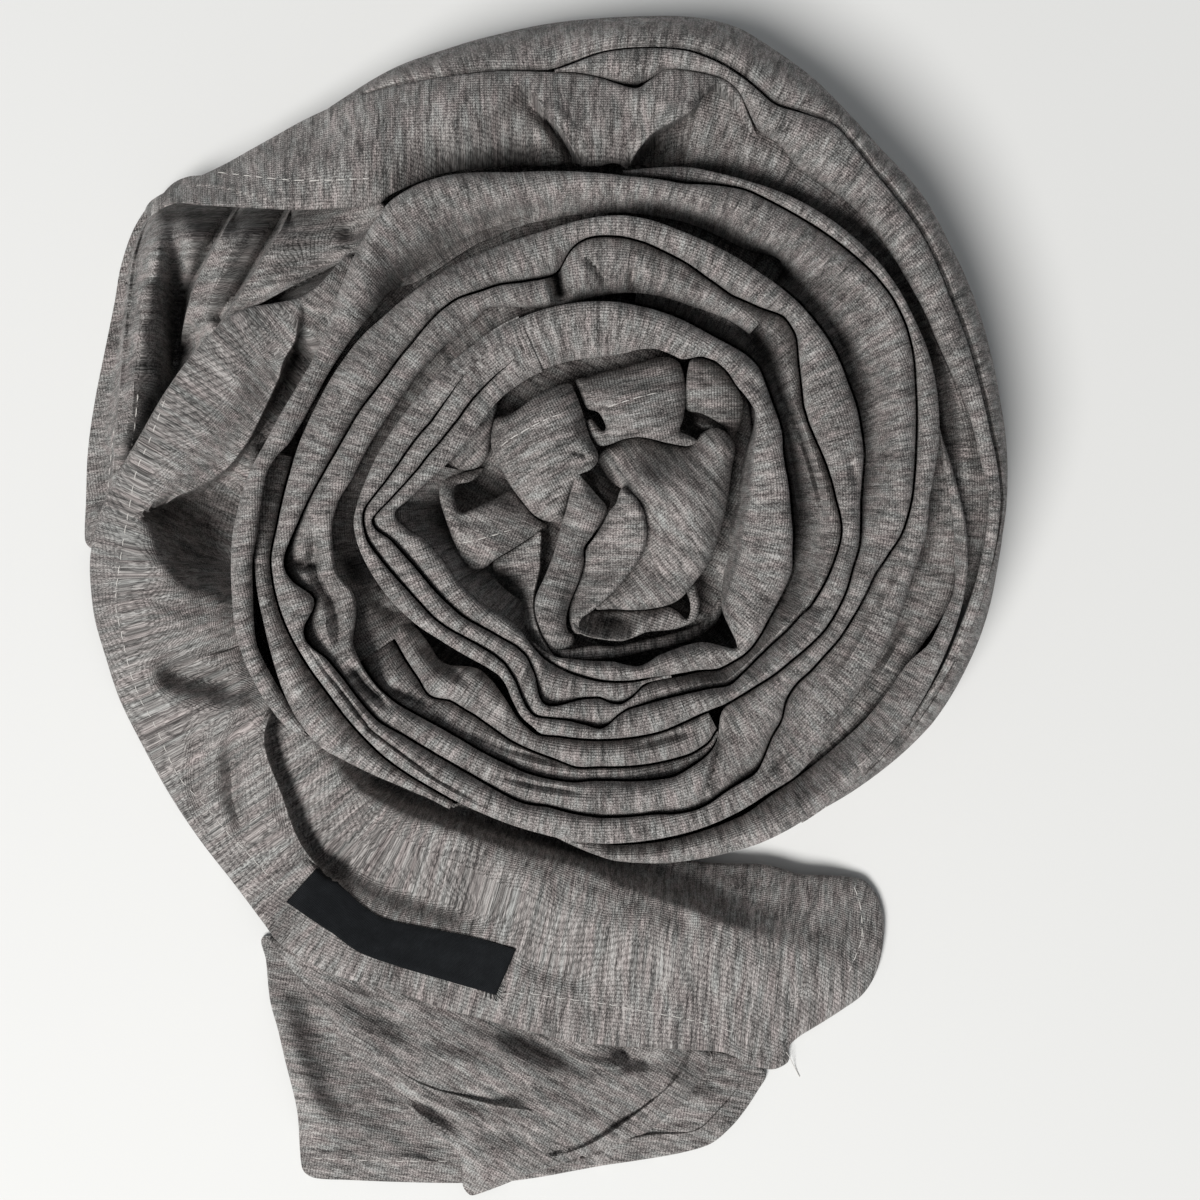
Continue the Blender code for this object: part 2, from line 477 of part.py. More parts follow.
top_pts = []
for (a, b), (c, d) in zip(LABEL_ROWS[:-1], LABEL_ROWS[1:]):
    for s in range(LABEL_CUTS):
        u = s / LABEL_CUTS
        top_pts.append([(a[0] + (c[0] - a[0]) * u, a[1] + (c[1] - a[1]) * u),
                        (b[0] + (d[0] - b[0]) * u, b[1] + (d[1] - b[1]) * u)])
top_pts.append([LABEL_ROWS[-1][0], LABEL_ROWS[-1][1]])
label_rows = []
for (ux, uy), (lx, ly) in top_pts:
    label_rows.append([on_tail(ux + (lx - ux) * v / LABEL_ACROSS, uy + (ly - uy) * v / LABEL_ACROSS)
                       for v in range(LABEL_ACROSS + 1)])
bm.free()
n, m = len(label_rows), LABEL_ACROSS + 1
up = [p + Vector((0, 0, LABEL_GAP + LABEL_WALL)) for row in label_rows for p in row]
down = [p + Vector((0, 0, LABEL_GAP)) for row in label_rows for p in row]
faces, k = [], n * m
for i in range(n - 1):
    for j in range(m - 1):
        a, b, c, d = i * m + j, i * m + j + 1, (i + 1) * m + j + 1, (i + 1) * m + j
        faces += [(a, b, c, d), (k + d, k + c, k + b, k + a)]
for i in range(n - 1):
    faces += [(i * m, (i + 1) * m, k + (i + 1) * m, k + i * m),
              ((i + 1) * m + m - 1, i * m + m - 1, k + i * m + m - 1, k + (i + 1) * m + m - 1)]
for j in range(m - 1):
    faces += [(j + 1, j, k + j, k + j + 1),
              ((n - 1) * m + j, (n - 1) * m + j + 1, k + (n - 1) * m + j + 1, k + (n - 1) * m + j)]
make("label", up + down, faces, (0.012, 0.013, 0.014), 0.8)
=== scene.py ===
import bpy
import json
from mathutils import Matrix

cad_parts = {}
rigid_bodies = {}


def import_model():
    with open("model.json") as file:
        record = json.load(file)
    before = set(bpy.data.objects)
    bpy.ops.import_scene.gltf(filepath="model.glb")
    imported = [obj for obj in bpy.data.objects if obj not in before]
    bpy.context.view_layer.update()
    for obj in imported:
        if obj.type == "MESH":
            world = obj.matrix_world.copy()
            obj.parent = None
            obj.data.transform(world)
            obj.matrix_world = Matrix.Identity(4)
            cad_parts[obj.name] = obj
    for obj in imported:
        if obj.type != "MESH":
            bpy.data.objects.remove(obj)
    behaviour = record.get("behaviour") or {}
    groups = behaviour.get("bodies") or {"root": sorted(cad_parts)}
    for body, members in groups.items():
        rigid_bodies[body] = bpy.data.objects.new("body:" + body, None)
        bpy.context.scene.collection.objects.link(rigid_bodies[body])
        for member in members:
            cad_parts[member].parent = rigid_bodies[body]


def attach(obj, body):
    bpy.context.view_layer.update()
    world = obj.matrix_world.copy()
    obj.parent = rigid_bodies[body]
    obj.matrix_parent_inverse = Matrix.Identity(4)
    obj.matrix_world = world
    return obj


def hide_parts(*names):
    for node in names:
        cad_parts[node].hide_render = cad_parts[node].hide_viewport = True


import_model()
"""Looks of the jersey hijab: ribbed, flecked jersey cloth wound into a rosette."""
import json
import math

import bpy
import numpy as np
from mathutils import Vector
from mathutils.bvhtree import BVHTree
from mathutils.geometry import delaunay_2d_cdt

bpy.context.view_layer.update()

# ---------------------------------------------------------------- plan and sizes
PLAN_HALF = 600.0
EYE_HEIGHT = 0.400
EYE_Y = -0.0234
EYE_STEPS = 1496.0
ROLL = (600.0, 500.0)
MM = 0.001
FOOT_IN = 28.6
FOOT_RIM = 17.0
WALE = 0.00069               # pitch of the jersey's ribs


def place(x, y, z_mm):
    """Points of the plan at heights in millimetres, in metres."""
    x, y, z = np.broadcast_arrays(np.asarray(x, float), np.asarray(y, float), np.asarray(z_mm, float) * MM)
    k = (EYE_HEIGHT - z) / EYE_STEPS
    return np.stack([(x - PLAN_HALF) * k, EYE_Y - (y - PLAN_HALF) * k, z], -1)


def step(z_mm):
    """A plan step at a height, in mm."""
    return (EYE_HEIGHT / MM - z_mm) / EYE_STEPS


def to_xy(turn, radius):
    a = np.radians(turn)
    return ROLL[0] + radius * np.cos(a), ROLL[1] - radius * np.sin(a)


# ---------------------------------------------------------------- smooth noise
def noise(seed):
    rng = np.random.default_rng(seed)
    g = rng.uniform(-1.0, 1.0, (64, 64))

    def at(x, y):
        x, y = np.broadcast_arrays(np.asarray(x, float), np.asarray(y, float))
        i, j = np.floor(x).astype(int), np.floor(y).astype(int)
        fx, fy = x - i, y - j
        fx, fy = fx * fx * (3 - 2 * fx), fy * fy * (3 - 2 * fy)
        a, b = g[i % 64, j % 64], g[(i + 1) % 64, j % 64]
        c, d = g[i % 64, (j + 1) % 64], g[(i + 1) % 64, (j + 1) % 64]
        return (a * (1 - fx) + b * fx) * (1 - fy) + (c * (1 - fx) + d * fx) * fy
    return at


# ---------------------------------------------------------------- grooves on the plan
# The lines where one fold of the roll meets the next: turn (degrees, anticlockwise from the
# right) and plan radius in steps.
CURVES = {
    'sil': '300:384 305:387 310:392 315:395 320:398 325:400 330:402 335:403 340:404 345:404 350:403 355:404 360:407 365:408 370:411 380:416 390:430',
    'G1': '360:402 365:400 370:397 375:397 380:399 385:402 390:405 395:412 400:419 405:423 410:428',
    'G2': '360:388 365:382 370:379 375:377 378:374 380:372 385:371 390:374 395:376 400:380 405:384 410:386 415:384 420:386 423:398 427:402 429:415 430:420',
    'W_out': '262:340 272:362 280:370 295:380 300:381 310:380 320:380 325:381 330:380 335:379 340:379 345:378 350:375 355:370 360:362 365:355 372:347',
    'W_in': '262:330 272:344 280:346 295:345 300:340 310:339 315:340 320:343 330:345 333:348 336:358 343:362 345:365 348:362 352:357 355:354 360:349 365:344 372:344',
    'Ra_out': '300:339 305:340 310:336 315:328 320:322 345:322 350:325 355:330 360:330 365:337 370:346 375:352 380:358 385:362 390:364 395:367 400:368 405:367 410:365 415:362 420:358 425:353 430:349 435:346 440:339 445:332 448:329',
    'Ra_mid': '300:325 305:315 310:305 313:297 316:293 320:291 325:290 330:290 335:292 340:297 345:303 350:311 355:320',
    'Ra_in': '300:314 303:303 306:292 310:285 312:275 315:270 318:269 320:271 325:273 330:277 335:279 340:282 345:285 350:295 353:303 355:306 360:312 365:316 370:321 375:328 380:336 385:346 390:353 395:356 400:355 405:352 410:349 415:346 420:344 425:343 430:336 435:328 440:327 445:326 450:328',
    'B_out': '90:328 95:331 100:335 105:340 110:350 115:360 120:366 125:367 130:358 135:348 140:338 145:328 150:322 155:321 160:325 165:332 170:340 175:352 180:361 185:370 190:376 195:382 200:389 205:392 210:392 215:390 218:382 220:375',
    'B_in': '52:302 60:288 65:288 70:289 75:289 80:288 85:287 90:286 95:285 100:284 110:284 120:282 125:281 130:284 133:290 135:296 140:293 150:296 160:301 165:306 170:315 172:325 175:333 180:337 185:342 190:352 195:358 200:367 203:372 210:371',
    'G_out': '172:345 190:352 195:356 200:359 205:364 210:370 215:375 218:376 222:374 225:367 230:358 235:350 240:345',
    'C_out': '300:240 305:241 310:243 315:247 320:250 325:255 330:260 335:262 340:263 345:262 350:264 355:262 360:261 365:264 370:269 375:271 380:274 385:275 390:278 395:280 405:281 415:279 425:280 430:281 435:283 440:286 445:287 450:285 455:281 460:277 465:275 475:275 480:277 490:280 500:285 505:290 510:293 520:299 525:303 530:308 535:312 540:318 545:325 550:335 555:338 560:339 565:338 570:336 575:334 590:336 600:334 610:336 615:338 620:340 625:343 630:345 645:345 650:344 655:342 660:339',
    'C_mid': '565:322 575:322 595:325 600:324 610:326 615:331',
    'C_in': '300:217 305:226 310:224 315:223 320:224 325:228 330:231 333:236 337:238 340:240 345:242 350:244 353:244 357:240 360:236 365:232 370:228 375:224 380:222 385:224 390:232 395:242 400:256 405:260 410:250 413:247 417:243 420:244 425:247 430:252 435:256 440:261 445:264 450:264 453:262 456:255 458:245 460:232 462:229 465:229 470:232 475:238 480:241 485:247 490:248 500:245 510:247 515:251 520:257 525:262 530:269 535:279 540:291 545:304 550:320 552:323 555:318 557:307 559:300 561:305 563:322 565:326 567:324 570:315 575:312 585:313 590:306 595:303 600:302 605:303 610:307 615:312 618:312 620:310 625:314 630:317 640:318 643:322 647:324 650:322 653:317 656:315 660:314',
    'D_in': '48:222 55:220 60:216 65:213 75:211 80:209 84:207 90:203 98:198 105:198 110:203 115:212 120:222 125:218 130:216 140:219 150:221 155:224 160:228 165:234 170:240 175:247 180:260 185:268 192:271 195:272 197:270 200:262 203:263 206:270 210:285 215:289 220:290 225:287 230:281 235:277 240:276 250:279 255:282 260:283 265:283 268:280 272:280 280:284 285:286 290:280 293:276 296:268 299:245 301:240',
    'D_ply': '355:222 360:222 365:218 370:214 380:211 390:209 395:214 400:240',
    'E_out': '211:249 215:249 220:252 225:255 228:260 230:259 233:250 240:249 245:252 250:257 255:260 260:263 265:269 270:267 280:269 290:270 295:265 299:245',
    'E_in': '205:232 210:232 215:222 220:222 225:226 228:222 230:215 233:208 235:206 240:210 245:220 250:234 255:243 260:240 285:240 290:238 295:237 300:239',
    'T1_out': '112:201 120:201 130:201 135:203 140:205 145:207 150:210 155:214 160:219 165:224 170:230 175:236 180:243 185:249 190:248 195:244 200:239 205:234 210:228 215:222 220:215 225:210 230:206 235:203 240:203 243:208 245:215 250:232 255:240',
    'T1_in': '112:185 134:185 140:184 145:183 150:184 155:186 160:192 165:198 170:205 175:215 180:229 182:236 185:238 190:236 195:227 200:219 205:212 210:207 215:204 220:199 225:193 230:189 235:187 240:189 245:199 250:218 253:226 258:223 262:222 267:225 270:229 272:225 275:215 278:210 285:208 290:209 295:212 300:217',
    'T2_in': '112:165 115:167 120:166 125:163 135:162 150:163 155:166 160:170 165:177 170:184 175:195 180:210 183:222 185:230 188:225 190:214 195:204 200:196 205:191 210:187 215:183 220:180 225:175 230:171 235:169 240:168 245:172 250:187 253:207 255:212 258:210 262:203 265:199 270:197 273:203 276:205 280:198 283:190 287:188 290:189 295:193 300:197 305:207 310:210 313:212 316:212 320:210 325:207 330:206 340:206 345:200 350:197 355:193 360:191 365:190 370:189 375:190 380:195 385:197 390:199 395:203 400:208 405:207 410:203 415:200 420:199 440:199 445:200 450:200 455:200 470:200 480:200',
    'T3_in': '112:141 150:141 155:143 160:148 165:153 170:162 175:175 180:190 183:205 185:205 190:190 192:180 195:175 200:168 205:165 210:163 215:160 220:157 225:153 230:150 235:150 240:153 245:160 250:167 255:171 260:175 270:181 280:184 285:185 290:188 295:192 300:197',
    'F_in': '245:156 250:160 255:162 260:160 270:160 275:161 280:167 283:170 287:168 290:165 295:165 300:167 305:172 308:180 313:205 316:175 318:165 320:160 325:156 330:153 335:151 340:149 345:146 350:145 355:147 360:150 365:151 370:155 375:158 380:163 385:172 390:179 400:177 405:180 410:180 415:175 418:165 420:161 425:161 430:160 435:155 440:148 445:144 450:142 455:141 480:141',
}


def points_of(name):
    return np.array([[float(v) for v in t.split(":")] for t in CURVES[name].split()])


def lane(*parts, soften=0.8):
    """A radius for every quarter degree, from stretches of curves: (curve, added turn, first, last)."""
    turns, radii = [], []
    for name, shift, first, last in parts:
        p = points_of(name) if isinstance(name, str) else np.array(name, float)
        t = np.arange(first, last, 0.25)
        turns.append(t)
        radii.append(np.interp(t - shift, p[:, 0], p[:, 1]))
    t, r = np.concatenate(turns), np.concatenate(radii)
    half = int(3 * soften / 0.25)
    kernel = np.exp(-0.5 * (np.arange(-half, half + 1) * 0.25 / soften) ** 2)
    kernel /= kernel.sum()
    padded = np.concatenate([np.full(half, r[0]), r, np.full(half, r[-1])])
    smooth = np.convolve(padded, kernel, "valid")
    return lambda q: np.interp(q, t, smooth)


def from_plan(pts):
    """Plan points as (turn, radius), with the turn kept rising."""
    out, last = [], None
    for x, y in pts:
        a = math.degrees(math.atan2(ROLL[1] - y, x - ROLL[0]))
        if last is not None:
            while a < last - 180:
                a += 360
            while a > last + 180:
                a -= 360
        last = a
        out.append((a, math.hypot(x - ROLL[0], y - ROLL[1])))
    return out


def table(rows, col):
    rows = np.array(rows, float)
    t = np.arange(rows[0, 0], rows[-1, 0] + 0.5, 0.5)
    v = np.interp(t, rows[:, 0], rows[:, col])
    k = np.exp(-0.5 * (np.arange(-12, 13) * 0.5 / 2.0) ** 2)
    k /= k.sum()
    v = np.convolve(np.concatenate([np.full(12, v[0]), v, np.full(12, v[-1])]), k, "valid")
    return lambda q: np.interp(q, t, v)


# ---------------------------------------------------------------- troughs and ridges
def along(pts, x, y):
    """Signed distance from a line on the plan, positive on its right, and how far past its ends."""
    pts = np.array(pts, float)
    best = np.full(x.shape, 1e9)
    sign = np.ones(x.shape)
    past = np.zeros(x.shape)
    n = len(pts) - 1
    for i in range(n):
        (ax, ay), (bx, by) = pts[i], pts[i + 1]
        dx, dy = bx - ax, by - ay
        ln = math.hypot(dx, dy) or 1e-6
        s = ((x - ax) * dx + (y - ay) * dy) / ln
        c = np.clip(s, 0, ln)
        d = np.hypot(x - ax - c * dx / ln, y - ay - c * dy / ln)
        side = np.where(dx * (y - ay) - dy * (x - ax) >= 0, 1.0, -1.0)
        over = np.zeros(x.shape)
        if i == 0:
            over = np.maximum(over, -s)
        if i == n - 1:
            over = np.maximum(over, s - ln)
        near = d < best
        best = np.where(near, d, best)
        sign = np.where(near, side, sign)
        past = np.where(near, over, past)
    return best, sign, past


def taper(pts, x, y):
    """How deep a crease is by its middle: 0 past its ends, 1 along its middle part."""
    pts = np.array(pts, float)
    seg = np.hypot(*np.diff(pts, axis=0).T)
    total = seg.sum()
    best, at = np.full(x.shape, 1e9), np.zeros(x.shape)
    run_ = 0.0
    for (ax, ay), (bx, by), ln in zip(pts[:-1], pts[1:], seg):
        s = ((x - ax) * (bx - ax) + (y - ay) * (by - ay)) / max(ln, 1e-6)
        c = np.clip(s, 0, ln)
        d = np.hypot(x - ax - c * (bx - ax) / max(ln, 1e-6), y - ay - c * (by - ay) / max(ln, 1e-6))
        near = d < best
        best = np.where(near, d, best)
        at = np.where(near, run_ + c, at)
        run_ += ln
    q = np.clip(np.minimum(at, total - at) / (0.28 * total), 0, 1)
    return 0.25 + 0.75 * q * q * (3 - 2 * q)


def marked(marks, x, y):
    """Height added at plan points by marks, in mm.
    ("dip", points, width, depth)            a soft trough, or a ridge where depth is negative
    ("ply", points, width, drop, reach)      a layer's edge: the cloth drops on the line's right"""
    dz = np.zeros(x.shape)
    for m in marks:
        kind, pts = m[0], m[1]
        if kind.endswith("@"):
            pts = [to_xy(t, r) for t, r in pts]
        if len(pts) == 1:
            pts = [pts[0], (pts[0][0] + 0.5, pts[0][1])]
        w, depth = m[2], m[3]
        d, sign, past = along(pts, x, y)
        if kind.startswith("dip"):
            if len(pts) > 2:                 # creases run out softly at both ends
                reach = taper(pts, x, y)
                dz -= depth * reach * np.exp(-(d / w) ** 2)
            else:
                dz -= depth * np.exp(-(d / w) ** 2)
        else:
            reach = m[4]
            s = d * sign
            fade = np.exp(-(np.maximum(past, 0) / (2.0 * w + 4)) ** 2)
            dz -= depth * fade / (1 + np.exp(-np.clip(s / (0.35 * w), -30, 30))) * np.exp(-np.maximum(s, 0) / reach)
    return dz


# ---------------------------------------------------------------- meshes
def make(name, verts, faces, cloth, node=None, slot="jersey", sharp=50):
    name = name + "_cloth" if node else name
    mesh = bpy.data.meshes.new(name)
    mesh.from_pydata([tuple(v) for v in verts], [], faces)
    mesh.validate()
    att = mesh.attributes.new("cloth", "FLOAT_VECTOR", "POINT")
    att.data.foreach_set("vector", np.asarray(cloth, np.float32).ravel())
    mesh.shade_smooth()
    mesh.set_sharp_from_angle(angle=math.radians(sharp))
    ob = bpy.data.objects.new(name, mesh)
    bpy.context.scene.collection.objects.link(ob)
    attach(ob, "root")
    if node:
        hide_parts(node)
    return ob


def ring_faces(n, m, caps=True):
    """Quads between n rings of m points, the first half of a ring being the outside."""
    faces = []
    for i in range(n - 1):
        a = i * m
        for j in range(m):
            k = (j + 1) % m
            faces.append((a + j, a + k, a + m + k, a + m + j))
    if caps:
        h = m // 2
        for j in range(h - 1):
            faces.append((j + 1, j, m - 1 - j, m - 2 - j))
            b = (n - 1) * m
            faces.append((b + j, b + j + 1, b + m - 2 - j, b + m - 1 - j))
    return faces


GAP = 1.15                    # half the gap between folds, in steps
DEEPER, ROUNDER = 1.50, 0.82
lumps, ripples = noise(11), noise(12)
RIMS = []                     # turn and outer radius of every fold


def strand(name, first, last, outer, inner, crest, shape, foot=FOOT_IN, marks=(), every=1.0,
           ref=None, layer=0, band=None, across=10, wobble=0.45, gap=GAP, flare=None, thick=0.9,
           u_mid=None, extra=False):
    """A fold standing on its edge.  crest: rows (turn, mm).  shape: rows (turn, place of the crest
    from the outer edge 0..1, outer fall, inner fall as shares of their widths, outer and inner
    roundness)."""
    turns = np.arange(first, last + 1e-6, every)
    if turns[-1] < last - 0.2:
        turns = np.append(turns, last)

    def eased(start, length=30.0):
        q = np.clip((turns - start) / length, 0, 1)
        return q * q * (3 - 2 * q)
    open_o = open_i = np.ones(len(turns))
    if band is not None:
        open_o, open_i = eased(band[0]), eased(band[1])
    ro, ri = outer(turns) - gap * open_o, inner(turns) + gap * open_i
    tight = ro - ri < 3.0
    mid0 = (ro + ri) / 2
    ro, ri = np.where(tight, mid0 + 1.5, ro), np.where(tight, mid0 - 1.5, ri)
    RIMS.append((turns, ro))
    zc = table(crest, 1)(turns)
    c, ko, ki, po, pi = (table(shape, q)(turns) for q in (1, 2, 3, 4, 5))
    ko, ki, po, pi = DEEPER * ko, DEEPER * ki, np.maximum(po * ROUNDER, 1.2), np.maximum(pi * ROUNDER, 1.15)
    k = step(zc)
    run = np.concatenate([[0], np.cumsum(np.radians(np.diff(turns)) * (mid0[1:] + mid0[:-1]) / 2 * (k[1:] + k[:-1]) / 2)])
    if ref is not None:
        run = run - np.interp(ref, turns, run)
    c = np.clip(c + 0.13 * lumps(run / 24.0 + 5 * layer + 1.5, 8.1 + layer), 0.12, 0.88)
    rc = ro - c * (ro - ri)
    wo, wi = (ro - rc) * k, (rc - ri) * k
    ko = ko * np.clip(1 + 0.42 * lumps(run / 19.0 + 11 * layer, 2.7), 0.45, 1.7)
    ki = ki * np.clip(1 + 0.42 * lumps(run / 22.0 + 4 * layer, 9.4), 0.45, 1.7)
    do, di = np.minimum(ko * wo, 15.0), np.minimum(ki * wi, 15.0)
    zn = 0.55 * lumps(run / 33.0 + 3 * layer, 1.2 * layer + 4) * (open_o + open_i) / 2 + wobble * lumps(run / 17.0 + 7 * layer, 3.3 * layer) + 0.4 * wobble * lumps(run / 6.5 + 3 * layer, 5.1 * layer)
    zc = zc + zn
    phi = np.linspace(math.pi / 2, 0, across)
    rows_r, rows_z, rows_w = [], [], []
    fl_i = flare(turns) if flare is not None else np.zeros(len(turns))
    for lift in (0.0, 0.45, 0.85):
        rows_r.append(ro)
        rows_z.append(foot + lift * (zc - do - foot))
        rows_w.append(np.full(len(turns), lift))
    for f in phi:
        s, g = math.sin(f), math.cos(f)
        rows_r.append(rc + (ro - rc) * s ** (2 / po))
        rows_z.append(zc - do * (1 - g ** (2 / po)))
        rows_w.append(np.ones(len(turns)))
    for f in phi[::-1][1:]:
        s, g = math.sin(f), math.cos(f)
        rows_r.append(rc - (rc - ri) * s ** (2 / pi))
        rows_z.append(zc - di * (1 - g ** (2 / pi)))
        rows_w.append(np.ones(len(turns)))
    for lift in (0.85, 0.45, 0.0):
        rows_r.append(ri - fl_i * (1 - lift))
        rows_z.append(foot + lift * (zc - di - foot))
        rows_w.append(np.full(len(turns), lift))
    R, Z, W = (np.stack(q, 1) for q in (rows_r, rows_z, rows_w))     # stations x across
    T = np.repeat(turns[:, None], R.shape[1], 1)
    if band is not None:                     # creases that deepen from a plain band of cloth
        place_ = np.clip((R - ri[:, None]) / (ro - ri)[:, None], 0, 1)
        w = open_i[:, None] + (open_o - open_i)[:, None] * place_
        Z = np.where(W >= 1.0, (1 - w) * (band[2](R) + zn[:, None]) + w * Z, Z)
    X, Y = to_xy(T, R)
    seg = np.hypot(np.diff(R, axis=1), np.diff(Z, axis=1) / k[:, None]) * k[:, None]
    U = np.concatenate([np.zeros((len(turns), 1)), np.cumsum(seg, 1)], 1)
    j = 3 + across - 1
    centre = (rc * k if u_mid is None else np.full(len(turns), u_mid * k.mean()))
    U = -(U - U[:, j:j + 1]) + (rc * k)[:, None] if u_mid is None else -(U - U[:, j:j + 1]) + centre[:, None]
    V = np.repeat(run[:, None], R.shape[1], 1)
    dz = marked(marks, X, Y) if marks else np.zeros(X.shape)
    dz = dz + 0.16 * ripples(V / 3.1, U / 2.3 + 9 * layer) + 0.22 * ripples(V / 8.0 + 40, U / 5.0 + 9 * layer)
    Z = np.maximum(Z + dz * W, foot + 0.8 * W)
    half = np.maximum((ro - ri) / 2, 2.0)[:, None]
    mid = ((ro + ri) / 2)[:, None]
    share = np.maximum(1 - (thick / k)[:, None] / half, 0.35)
    Ri = mid + (R - mid) * share
    Zi = np.where(W <= 0, foot, np.maximum(Z - thick, foot + 0.3))
    Xi, Yi = to_xy(T, Ri)
    outside, inside = place(X, Y, Z), place(Xi, Yi, Zi)[:, ::-1]
    verts = np.concatenate([outside, inside], 1)
    n, m = verts.shape[:2]
    cloth = np.stack([U, V, np.full(U.shape, 37.0 * layer)], -1) * MM
    cloth = np.concatenate([cloth, cloth[:, ::-1]], 1)
    ob = make(name, verts.reshape(-1, 3), ring_faces(n, m), cloth.reshape(-1, 3), None if extra else name)
    return ob


def smooth_loop(pts, spacing=3.0):
    """A closed rounded line through plan points, with even spacing.  A doubled point is a corner."""
    p = np.array(pts, float)
    n = len(p)
    out = []
    for i in range(n):
        p0, p1, p2, p3 = p[i - 1], p[i], p[(i + 1) % n], p[(i + 2) % n]
        ln = np.hypot(*(p2 - p1))
        if ln < 1e-6:
            continue
        if np.hypot(*(p1 - p0)) < 1e-6:
            p0 = p1
        if np.hypot(*(p3 - p2)) < 1e-6:
            p3 = p2
        m = max(2, int(round(ln / spacing)))
        t = (np.arange(m) / m)[:, None]
        h1, h2 = (p2 - p0) / 2, (p3 - p1) / 2
        l1, l2 = np.hypot(*h1), np.hypot(*h2)
        h1, h2 = h1 * min(1, ln / max(l1, 1e-6)), h2 * min(1, ln / max(l2, 1e-6))
        out.append((2 * t ** 3 - 3 * t ** 2 + 1) * p1 + (t ** 3 - 2 * t ** 2 + t) * h1
                   + (-2 * t ** 3 + 3 * t ** 2) * p2 + (t ** 3 - t ** 2) * h2)
    return np.concatenate(out)


def smooth_line(pts, spacing=3.0):
    p = np.array(pts, float)
    ext = np.vstack([2 * p[0] - p[1], p, 2 * p[-1] - p[-2]])
    out = []
    for i in range(1, len(ext) - 2):
        p0, p1, p2, p3 = ext[i - 1:i + 3]
        m = max(1, int(round(np.hypot(*(p2 - p1)[:2]) / spacing)))
        t = (np.arange(m) / m)[:, None]
        out.append(0.5 * (2 * p1 + (p2 - p0) * t + (2 * p0 - 5 * p1 + 4 * p2 - p3) * t ** 2
                          + (3 * p1 - p0 - 3 * p2 + p3) * t ** 3))
    out.append(p[-1:])
    return np.concatenate(out)


def inside_of(loop, x, y):
    n = len(loop)
    inside = np.zeros(x.shape, bool)
    for i in range(n):
        (ax, ay), (bx, by) = loop[i], loop[(i + 1) % n]
        cut = (ay > y) != (by > y)
        if ay != by:
            inside ^= cut & (x < (bx - ax) * (y - ay) / (by - ay) + ax)
    return inside


def edge_distance(loops, x, y):
    best = np.full(x.shape, 1e9)
    for loop in loops:
        n = len(loop)
        for i in range(n):
            (ax, ay), (bx, by) = loop[i], loop[(i + 1) % n]
            dx, dy = bx - ax, by - ay
            s = np.clip(((x - ax) * dx + (y - ay) * dy) / (dx * dx + dy * dy + 1e-9), 0, 1)
            best = np.minimum(best, np.hypot(x - ax - s * dx, y - ay - s * dy))
    return best


def surface(points, stiff=0.0):
    """A smooth height over the plan through (x, y, z mm) points: a thin plate."""
    p = np.array(points, float)
    s = 100.0
    q, z = p[:, :2] / s, p[:, 2]
    n = len(q)

    def kern(d2):
        return 0.5 * d2 * np.log(np.maximum(d2, 1e-12))
    a = np.zeros((n + 3, n + 3))
    a[:n, :n] = kern(((q[:, None] - q[None]) ** 2).sum(-1)) + stiff * np.eye(n)
    a[:n, n], a[:n, n + 1:] = 1, q
    a[n, :n], a[n + 1:, :n] = 1, q.T
    w = np.linalg.lstsq(a, np.concatenate([z, np.zeros(3)]), rcond=None)[0]

    def at(x, y):
        x, y = np.asarray(x, float) / s, np.asarray(y, float) / s
        out = w[n] + w[n + 1] * x + w[n + 2] * y
        for i in range(n):
            out = out + w[i] * kern((x - q[i, 0]) ** 2 + (y - q[i, 1]) ** 2)
        return out
    return at


UPPER = {}                 # upper side, cloth places, layer and lowest height of each cut piece


